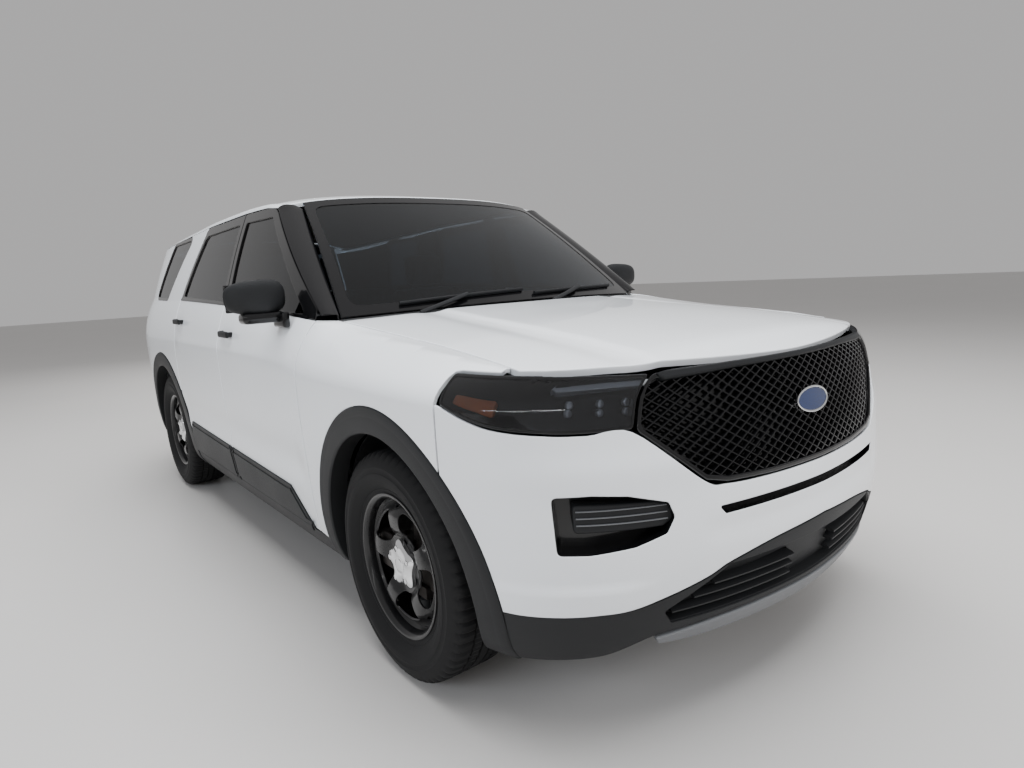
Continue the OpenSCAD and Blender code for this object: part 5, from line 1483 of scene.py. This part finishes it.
def tyre_profile():
    r, b, w, h = TYRE_D / 2, RIM_D / 2, TYRE_W / 2, RIM_W / 2 - 7
    half = [(b + 1, h + 0.5), (b + 7, h + 1.2), (b + 12, h + 2), (b + 17, h + 3), (b + 24, h + 5.5),
            (b + 26, h + 7.5), (b + 29, h + 7),
            (b + 44, w - 9), (b + 60, w - 3), (b + 63, w - 1), (b + 80, w - 0.4), (b + 83, w - 2.2),
            (b + 98, w - 2.6), (b + 101, w - 1.4),
            (b + 108, w - 3), (r - 34, w - 8), (r - 24, w - 12), (r - 15, w - 17), (r - 9, w - 22),
            (r - 4.5, w - 30), (r - 2.6, w - 40)]
    tread = []
    for x0, x1 in [(w - 50, 56), (48, 22), (14, 0)]:
        tread += [(r - 1.4 - (x0 / w) ** 2 * 1.6, x0), (r - 0.9 - (x1 / w) ** 2 * 1.6, x1)]
        if x1:
            tread += [(r - 8.5, x1 - 0.8), (r - 8.5, x1 - 7.2)]
    right = half + tread[:-1] + [(r - 0.9, 0)]
    outer = right + [(q, -x) for q, x in right[:-1][::-1]]
    inner = [(b, -h + 14), (b + 40, -h + 4), (b + 76, -w + 12), (r - 30, -w + 24), (r - 15, -w + 46),
             (r - 14, 0)]
    return outer + inner + [(q, -x) for q, x in inner[:-1][::-1]]


def tyre_shape():
    """A tyre round the origin with ribs, grooves and blocks."""
    r, pitches = TYRE_D / 2, sizes().tread_blocks

    def blocks(radius, x, step):
        phase = (step[:, None] + 2 * (x[None, :] > 0)) % 4
        groove = (phase == 0) & (np.abs(x)[None, :] > 46) & (radius > r - 21)
        sipe = (phase == 2) & (np.abs(x)[None, :] > 20) & (np.abs(x)[None, :] < 60) & (radius > r - 4)
        return radius - 6.5 * groove - 3 * sipe
    return lathe(tyre_profile(), pitches * 4, blocks)


def rim_profile():
    s, half = RIM_D / 2 - 1, RIM_W / 2
    return [(s - 15, -half), (s + 8, -half), (s + 12, -half + 1.5), (s + 12, -half + 5), (s + 8, -half + 6),
            (s, -half + 7), (s, -half + 38),
            (s - 13, -half + 58), (s - 13, half - 58), (s, half - 38), (s, half - 8), (s + 6, half - 6),
            (s + 11, half - 4), (s + 12, half - 1),
            (s + 8, half), (s + 3, half - 1.5), (s - 4, half - 8), (s - 7, half - 16), (s - 8, half - 36),
            (s - 20, half - 50), (s - 20, half - 62),
            (s - 20, -half + 54), (s - 8, -half + 34), (s - 8, -half + 12)]


NUT_CIRCLE = 58
CAP_RADIUS = 66
CAP_LOBE = 19
WHEEL_TURNS = {"front": 12, "rear": 40}


def build_wheels():
    """Pressed steel wheels with bright caps and nuts, and treaded tyres."""
    openings = []
    for k in range(5):
        t = math.radians(72 * k + 36)
        polar = [(106, -17), (150, -24), (182, -21), (186, 0), (182, 21), (150, 24), (106, 17), (100, 0)]
        pts = [(r * math.cos(t + math.radians(a)), r * math.sin(t + math.radians(a))) for r, a in polar]
        openings.append(smooth(pts, 5, closed=True))
    slots = []
    for k in range(5):
        t = math.radians(72 * k)
        slots.append([(196 * math.cos(t) + 7 * math.cos(q), 196 * math.sin(t) + 7 * math.sin(q))
                      for q in np.linspace(0, 2 * math.pi, 16, endpoint=False)])
    circle = [(222 * math.cos(t), 222 * math.sin(t)) for t in np.linspace(0, 2 * math.pi, 90, endpoint=False)]
    bore = [(32 * math.cos(t), 32 * math.sin(t)) for t in np.linspace(0, 2 * math.pi, 40, endpoint=False)]
    face = skin_geometry(wheel_face, circle, [*openings, bore, *slots], 6, 2.4, 11)
    rim = lathe(rim_profile(), 120)
    # the cap: a five-lobed dome with bosses over the nuts
    n, m = 120, 36
    rows = []
    for j in range(m):
        s = j / (m - 1)
        ring = []
        for i in range(n):
            t = 2 * math.pi * i / n
            lobe = CAP_RADIUS + CAP_LOBE * (0.5 + 0.5 * math.cos(5 * t)) ** 1.5
            r = lobe * math.sin(s * math.pi / 2)
            boss = sum(math.exp(-((r * math.cos(t) - NUT_CIRCLE * math.cos(q)) ** 2
                                  + (r * math.sin(t) - NUT_CIRCLE * math.sin(q)) ** 2) / 130)
                       for q in (2 * math.pi * k / 5 for k in range(5)))
            h = 80 + 15 * max(math.cos(s * math.pi / 2),
                              0) ** 0.8 + 5 * boss - 2.5 * math.exp(-(((r - 27) / 5) ** 2))
            ring.append((h, r * math.cos(t), r * math.sin(t)))
        rows.append(ring)
    cap_verts = np.array(rows).reshape(-1, 3)
    cap_verts = np.concatenate([cap_verts, np.array(rows[-1]) * [0, 1, 1] + [70, 0, 0]])
    cap_faces = [[j * n + i, j * n + (i + 1) % n, (j + 1) * n + (i + 1) % n, (j + 1) * n + i]
                 for j in range(m) for i in range(n)]
    cap_faces.append([m * n + i for i in range(n)])
    nuts = []
    for k in range(5):
        t = 2 * math.pi * k / 5
        v, f = round_bar((86, NUT_CIRCLE * math.cos(t), NUT_CIRCLE * math.sin(t)), 10, 20, "x", 2, 6)
        nuts.append((v, f))
    tyre = tyre_shape()
    for axle, y in (("front", AXLE_F), ("rear", AXLE_R)):
        for side in ("left", "right"):
            body = f"{axle}_{side}_wheel"
            at = np.array([WHEEL_X, y, AXLE_Z])
            turn = math.radians(WHEEL_TURNS[axle])
            c, s = math.cos(turn), math.sin(turn)
            spin = np.array([[1, 0, 0], [0, c, s], [0, -s, c]])
            verts, faces, normals, marks = face
            disc = (verts @ spin + at, faces, normals @ spin, marks)
            put(f"wheel_disc_{axle}_{side}", sides(disc, side), body, "black_steel", [f"{axle}_wheel_{side}"])
            solid(f"wheel_rim_{axle}_{side}", (rim[0] + at, rim[1]), "black_steel", body, "black_steel",
                  side=side)
            solid(f"wheel_cap_{axle}_{side}", (cap_verts @ spin + at, cap_faces), "bright_metal", body,
                  "silver_plastic", side=side)
            solid(f"wheel_nuts_{axle}_{side}", [(v @ spin + at, f) for v, f in nuts], "bright_metal", body,
                  "silver_plastic", side=side)
            solid(f"tyre_{axle}_{side}", (tyre[0] + at, tyre[1]), "tyre_rubber", body, "tyre_rubber",
                  f"{axle}_tyre_{side}", side=side, angle=32)


MIRROR_HALF_W, MIRROR_HALF_D, MIRROR_HALF_H = 119, 50, 66


def power(q, e):
    """A power of a number that keeps its sign."""
    return math.copysign(abs(q) ** e, q)


def build_mirrors():
    """Door mirrors: cap, lower arm and glass."""
    at = np.array([1044, DOOR_Y0 + 222, BELT_F + 98.0])
    n, m, rows = 48, 28, []
    for j in range(m + 1):
        v = math.pi * (j / m - 0.5)
        ring = []
        for i in range(n):
            u = 2 * math.pi * i / n
            cu, su, cv, sv = math.cos(u), math.sin(u), math.cos(v), math.sin(v)
            x = MIRROR_HALF_W * power(cv, 0.62) * power(cu, 0.72)
            y = MIRROR_HALF_D * power(cv, 0.62) * power(su, 0.8)
            z = MIRROR_HALF_H * power(sv, 0.7)
            y *= 1.0 if y < 0 else 0.82
            z *= 1 - 0.12 * (x / MIRROR_HALF_W) if z > 0 else 1 - 0.05 * (x / MIRROR_HALF_W)
            y += 10 * (x / MIRROR_HALF_W) ** 2 if y < 0 else 0
            ring.append((x, y, z))
        rows.append(ring)
    verts = np.array(rows).reshape(-1, 3) + at
    faces = [[j * n + i, j * n + (i + 1) % n, (j + 1) * n + (i + 1) % n, (j + 1) * n + i] for j in range(m)
             for i in range(n)]
    foot_x = float(skin_x(DOOR_Y0 + 250, BELT_F - 24)) + 3
    foot = soft_box((foot_x - 10, DOOR_Y0 + 146, BELT_F - 26), (foot_x + 20, DOOR_Y0 + 262, BELT_F + 36), 9)
    tray = soft_box((foot_x - 4, DOOR_Y0 + 178, BELT_F - 4), (1108, DOOR_Y0 + 262, BELT_F + 40), 16)
    glass = soft_box(at + [-98, 38, -48], at + [98, 44, 44], 3)
    rim = soft_box(at + [-106, 30, -56], at + [106, 41, 52], 8)
    for side in ("left", "right"):
        body = f"front_{side}_door"
        solid(f"mirror_cap_{side}", (verts, faces), "dark_plastic", body, "dark_plastic", f"mirror_{side}",
              side=side, angle=50)
        solid(f"mirror_arm_{side}", [foot, tray], "gloss_black", body, "dark_plastic", side=side)
        solid(f"mirror_bezel_{side}", [rim], "gloss_black", body, "dark_plastic", side=side)
        solid(f"mirror_pane_{side}", [glass], "mirror_glass", body, "silver_plastic", side=side)


CHANNEL_STEP = 0.085
CHANNEL_WIDTH = 0.006
SEAT_MIDDLE = 0.37
CLOTH_FRAMES = 8


def cushion_from(node, part):
    """A copy of a seat node, free of the frame, to be swollen."""
    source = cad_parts[node]
    obj = source.copy()
    obj.data = source.data.copy()
    for key in list(obj.keys()):
        del obj[key]
    obj.parent = None
    bpy.context.scene.collection.objects.link(obj)
    obj.name = part
    return obj


def build_seats():
    """Front and rear seats as padded cushions, swollen by cloth pressure, with sewn channels."""
    for node in ("front_seats", "rear_seat"):
        obj = cushion_from(node, node + "_padding")
        obj.data.materials.clear()
        obj.data.materials.append(finish("seat_cloth"))
        outward(obj)
        shaped(obj, [("REMESH", {"mode": "VOXEL", "voxel_size": 0.009})])
        co = np.array([v.co for v in obj.data.vertices])
        rest = co.copy()
        cloth = obj.modifiers.new("Cloth", "CLOTH")
        cloth.settings.use_pressure = True
        cloth.settings.uniform_pressure_force = 4
        cloth.settings.effector_weights.gravity = 0
        cloth.settings.quality = 3
        scene = bpy.context.scene
        for f in range(1, CLOTH_FRAMES + 1):
            scene.frame_set(f)
        deps = bpy.context.evaluated_depsgraph_get()
        swollen = np.array([v.co for v in obj.evaluated_get(deps).data.vertices])
        scene.frame_set(1)
        obj.modifiers.clear()
        if len(swollen) == len(rest):
            move = swollen - rest
            size = np.linalg.norm(move, axis=1, keepdims=True)
            co = rest + move * np.minimum(1, sizes().cushion_swell / np.maximum(size, 1e-9))
        # channels sewn across the middle of each cushion
        middle = SEAT_MIDDLE * (node == "front_seats") * np.sign(-co[:, 0])
        width = np.abs(((co[:, 0] + middle) / CHANNEL_STEP + 0.5) % 1 - 0.5) * CHANNEL_STEP
        normals = np.array([v.normal for v in obj.data.vertices])
        facing = np.clip(np.maximum(normals[:, 2], -normals[:, 1]), 0, 1)
        co -= normals * (sizes().seam_depth * np.exp(-(width / CHANNEL_WIDTH) ** 2) * facing)[:, None]
        obj.data.vertices.foreach_set("co", co.ravel())
        obj.data.update()
        shaped(obj, [("SMOOTH", {"iterations": 2, "factor": 0.5})])
        obj.data.polygons.foreach_set("use_smooth", [True] * len(obj.data.polygons))
        place(obj, "body", "seat_cloth", node)


def build_cabin():
    """Steering wheel and dashboard details."""
    tilt = math.radians(90 + 25)
    turn = np.array([[1, 0, 0], [0, math.cos(tilt), math.sin(tilt)], [0, -math.sin(tilt), math.cos(tilt)]])
    at = np.array([370, DOOR_Y0 + 350, 985.0])
    ring = [(178 + 15 * math.cos(t), 15 * math.sin(t))
            for t in np.linspace(0, 2 * math.pi, 20, endpoint=False)]
    v, f = lathe(ring, 90)
    v = v[:, [1, 2, 0]]
    hub = soft_box((-64, -58, -8), (64, 56, 38), 16)
    spokes = [soft_box((50, -17, -5), (172, 17, 9), 5), soft_box((-172, -17, -5), (-50, 17, 9), 5),
              soft_box((-17, -172, -5), (17, -50, 9), 5)]
    column = round_bar((0, 0, 195), 18, 330, "z", 2)
    parts = [(a @ turn + at, b) for a, b in [(v, f), hub, *spokes, column]]
    solid("steering_wheel_rim", parts, "cabin_trim", "steering_wheel", "cabin_trim", "steering_wheel")
    dash = []
    for x in (-690, -130, 130, 690 - 140):
        dash.append(soft_box((x, DOOR_Y0 + 214, 990), (x + 140, DOOR_Y0 + 236, 1060), 8))
    binnacle = soft_box((230, DOOR_Y0 + 60, 1060), (510, DOOR_Y0 + 240, 1118), 26)
    screen = soft_box((-105, DOOR_Y0 + 238, 900), (105, DOOR_Y0 + 262, 985), 8)
    solid("dashboard_fittings", [*dash, binnacle, screen], "cabin_trim", "body", "cabin_trim")


def carried_over():
    """Finishes for the frame's own pieces that stay in view."""
    slots = {"floor_pan": "structure_steel", "firewall": "structure_steel", "dashboard": "cabin_trim",
             "engine": "engine_alloy",
             "radiator": "radiator_core", "front_suspension": "structure_steel",
             "rear_suspension": "structure_steel",
             "exhaust": "exhaust_steel", "fuel_tank": "structure_steel", "wheel_liners": "dark_plastic",
             "plate_bracket": "dark_plastic", "knuckle_left": "cast_metal", "knuckle_right": "cast_metal"}
    for node, name in slots.items():
        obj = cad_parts[node]
        obj.data.materials.clear()
        obj.data.materials.append(finish(name))


# Name, place, what it faces, size, power, colour and whether it shows in reflections
LIGHTS = [
    ("overhead", (0, -0.5, 6.5), (0, 0, 0), (6, 9), 1150, (0.96, 0.98, 1), False),
    ("front_left", (5.5, -8.5, 3.6), (0, -1, 0.7), (3, 3), 520, (0.97, 0.98, 1), False),
    ("near_side", (-9, -2.5, 4.6), (0, 0, 0.8), (7, 2.4), 380, (0.84, 0.91, 1), False),
    ("near_strip", (-7, -5.5, 2.9), (0, 0, 0.9), (9, 0.25), 60, (1, 1, 1), True),
    ("rear", (4, 8.5, 4.2), (0, 1, 0.9), (5, 2), 420, (1, 1, 1), False)]
CAMERA_AT = (-1.883, -3.450, 1.288)
CAMERA_TURN = (38.03, -9.215, -3.097)
SENSOR_WIDTH = 36
LENS_LENGTH = 23.309


def build_stage():
    """Pale floor, soft lights and the camera."""
    bpy.ops.object.select_all(action="DESELECT")
    bpy.ops.mesh.primitive_plane_add(size=90)
    floor = bpy.context.object
    floor.name = "studio_floor"
    r = Recipe("pale_floor")
    cloud = r.noise(0.6, 4.0)
    fine = r.noise(60.0, 3.0)
    r.set("Base Color", r.mixed((cloud * 0.7 + fine * 0.3).limited(),
                                tuple(0.9 * c for c in colours().floor), tuple(colours().floor)))
    r.set("Roughness", 0.34 + fine * 0.12)
    floor.data.materials.append(r.material)
    world = bpy.data.worlds.new("studio")
    bpy.context.scene.world = world
    world.use_nodes = True
    world.node_tree.nodes["Background"].inputs["Color"].default_value = (0.82, 0.81, 0.81, 1)
    world.node_tree.nodes["Background"].inputs["Strength"].default_value = 0.6
    for name, at, aim, size, power, colour, mirrored_in in LIGHTS:
        data = bpy.data.lights.new(name, "AREA")
        data.shape = "RECTANGLE"
        data.size, data.size_y = size
        data.energy = power
        data.color = colour
        lamp = bpy.data.objects.new(name, data)
        bpy.context.scene.collection.objects.link(lamp)
        lamp.location = at
        lamp.visible_glossy = mirrored_in
        lamp.visible_transmission = mirrored_in
        lamp.rotation_euler = (Vector(aim) - Vector(at)).to_track_quat("-Z", "Y").to_euler()
    camera = bpy.data.cameras.new("camera")
    camera.lens = LENS_LENGTH
    camera.sensor_width = SENSOR_WIDTH
    camera.clip_end = 200
    obj = bpy.data.objects.new("camera", camera)
    bpy.context.scene.collection.objects.link(obj)
    yaw, pitch, roll = (math.radians(v) for v in CAMERA_TURN)
    ahead = Vector((math.sin(yaw) * math.cos(pitch), math.cos(yaw) * math.cos(pitch), math.sin(pitch)))
    right = Vector((math.cos(yaw), -math.sin(yaw), 0))
    up = right.cross(ahead)
    x = right * math.cos(roll) + up * math.sin(roll)
    y = up * math.cos(roll) - right * math.sin(roll)
    z = -ahead
    obj.matrix_world = Matrix(((x.x, y.x, z.x, CAMERA_AT[0]), (x.y, y.y, z.y, CAMERA_AT[1]),
                               (x.z, y.z, z.z, CAMERA_AT[2]), (0, 0, 0, 1)))
    bpy.context.scene.camera = obj


def build_doors():
    for side in ("left", "right"):
        for which in ("front", "rear"):
            door_parts(side, which)


# ---- Operators, one for each group of pieces ----
class CAR_OT_front(bpy.types.Operator):
    """Bumper cover, valance, skid lip, vents, intake and grille"""

    bl_idname = "patrol_car.front"
    bl_label = "Build front end"
    bl_options = {"REGISTER", "UNDO"}

    def execute(self, context):
        build_front()
        return {"FINISHED"}


class CAR_OT_headlights(bpy.types.Operator):
    """Lamp surrounds, light bars, lamp blocks, amber ends and smoked covers"""

    bl_idname = "patrol_car.headlights"
    bl_label = "Build headlights"
    bl_options = {"REGISTER", "UNDO"}

    def execute(self, context):
        build_headlights()
        return {"FINISHED"}


class CAR_OT_fenders(bpy.types.Operator):
    """Front fenders up to the hood and over the lamps"""

    bl_idname = "patrol_car.fenders"
    bl_label = "Build fenders"
    bl_options = {"REGISTER", "UNDO"}

    def execute(self, context):
        build_fenders()
        return {"FINISHED"}


class CAR_OT_hood(bpy.types.Operator):
    """Hood with its raised middle"""

    bl_idname = "patrol_car.hood"
    bl_label = "Build hood"
    bl_options = {"REGISTER", "UNDO"}

    def execute(self, context):
        build_hood()
        return {"FINISHED"}


class CAR_OT_roof(bpy.types.Operator):
    """Roof skin and the mouldings in its ditches"""

    bl_idname = "patrol_car.roof"
    bl_label = "Build roof"
    bl_options = {"REGISTER", "UNDO"}

    def execute(self, context):
        build_roof()
        return {"FINISHED"}


class CAR_OT_body_sides(bpy.types.Operator):
    """Pillars, roof rails, quarter panels, side glass and fuel door"""

    bl_idname = "patrol_car.body_sides"
    bl_label = "Build body sides"
    bl_options = {"REGISTER", "UNDO"}

    def execute(self, context):
        build_sides()
        return {"FINISHED"}


class CAR_OT_doors(bpy.types.Operator):
    """Four doors with frames, glass, cladding, handles and armrests"""

    bl_idname = "patrol_car.doors"
    bl_label = "Build doors"
    bl_options = {"REGISTER", "UNDO"}

    def execute(self, context):
        build_doors()
        return {"FINISHED"}


class CAR_OT_cladding(bpy.types.Operator):
    """Rings round the wheel arches and sill covers"""

    bl_idname = "patrol_car.cladding"
    bl_label = "Build cladding"
    bl_options = {"REGISTER", "UNDO"}

    def execute(self, context):
        build_cladding()
        return {"FINISHED"}


class CAR_OT_rear(bpy.types.Operator):
    """Tailgate, spoiler, tail lamps and rear bumper"""

    bl_idname = "patrol_car.rear"
    bl_label = "Build rear end"
    bl_options = {"REGISTER", "UNDO"}

    def execute(self, context):
        build_rear()
        return {"FINISHED"}


class CAR_OT_glass(bpy.types.Operator):
    """Windshield with its border, wipers and cowl panel"""

    bl_idname = "patrol_car.glass"
    bl_label = "Build windshield"
    bl_options = {"REGISTER", "UNDO"}

    def execute(self, context):
        build_glass()
        return {"FINISHED"}


class CAR_OT_wheels(bpy.types.Operator):
    """Steel wheels with caps and nuts, and treaded tyres"""

    bl_idname = "patrol_car.wheels"
    bl_label = "Build wheels"
    bl_options = {"REGISTER", "UNDO"}

    def execute(self, context):
        build_wheels()
        return {"FINISHED"}


class CAR_OT_mirrors(bpy.types.Operator):
    """Door mirrors with arms, bezels and panes"""

    bl_idname = "patrol_car.mirrors"
    bl_label = "Build mirrors"
    bl_options = {"REGISTER", "UNDO"}

    def execute(self, context):
        build_mirrors()
        return {"FINISHED"}


class CAR_OT_seats(bpy.types.Operator):
    """Padded front and rear seats"""

    bl_idname = "patrol_car.seats"
    bl_label = "Build seats"
    bl_options = {"REGISTER", "UNDO"}

    def execute(self, context):
        build_seats()
        return {"FINISHED"}


class CAR_OT_cabin(bpy.types.Operator):
    """Steering wheel and dashboard fittings"""

    bl_idname = "patrol_car.cabin"
    bl_label = "Build cabin"
    bl_options = {"REGISTER", "UNDO"}

    def execute(self, context):
        build_cabin()
        return {"FINISHED"}


class CAR_OT_structure(bpy.types.Operator):
    """Finishes for the frame pieces that stay in view"""

    bl_idname = "patrol_car.structure"
    bl_label = "Build structure finishes"
    bl_options = {"REGISTER", "UNDO"}

    def execute(self, context):
        carried_over()
        return {"FINISHED"}


class CAR_OT_stage(bpy.types.Operator):
    """Floor, lights, world and camera"""

    bl_idname = "patrol_car.stage"
    bl_label = "Build stage"
    bl_options = {"REGISTER", "UNDO"}

    def execute(self, context):
        build_stage()
        return {"FINISHED"}


OPERATORS = (CAR_OT_front, CAR_OT_headlights, CAR_OT_fenders, CAR_OT_hood, CAR_OT_roof,
             CAR_OT_body_sides, CAR_OT_doors, CAR_OT_cladding, CAR_OT_rear, CAR_OT_glass,
             CAR_OT_wheels, CAR_OT_mirrors, CAR_OT_seats, CAR_OT_cabin, CAR_OT_structure,
             CAR_OT_stage)


class CAR_PT_build(bpy.types.Panel):
    """Sizes, colours and the build steps"""

    bl_idname = "CAR_PT_build"
    bl_label = "Patrol car"
    bl_space_type = "VIEW_3D"
    bl_region_type = "UI"
    bl_category = "Patrol car"

    def draw(self, context):
        for group in (context.scene.patrol_car_sizes, context.scene.patrol_car_colours):
            box = self.layout.box()
            for key in group.__annotations__:
                box.prop(group, key)
        for operator in OPERATORS:
            self.layout.operator(operator.bl_idname)


CLASSES = (CarSizes, CarColours, *OPERATORS, CAR_PT_build)


def register():
    for cls in CLASSES:
        bpy.utils.register_class(cls)
    bpy.types.Scene.patrol_car_sizes = PointerProperty(type=CarSizes)
    bpy.types.Scene.patrol_car_colours = PointerProperty(type=CarColours)


def unregister():
    del bpy.types.Scene.patrol_car_sizes
    del bpy.types.Scene.patrol_car_colours
    for cls in reversed(CLASSES):
        bpy.utils.unregister_class(cls)


def main():
    register()
    for operator in OPERATORS:
        getattr(bpy.ops.patrol_car, operator.bl_idname.split(".")[1])()


if __name__ == "__main__":
    main()
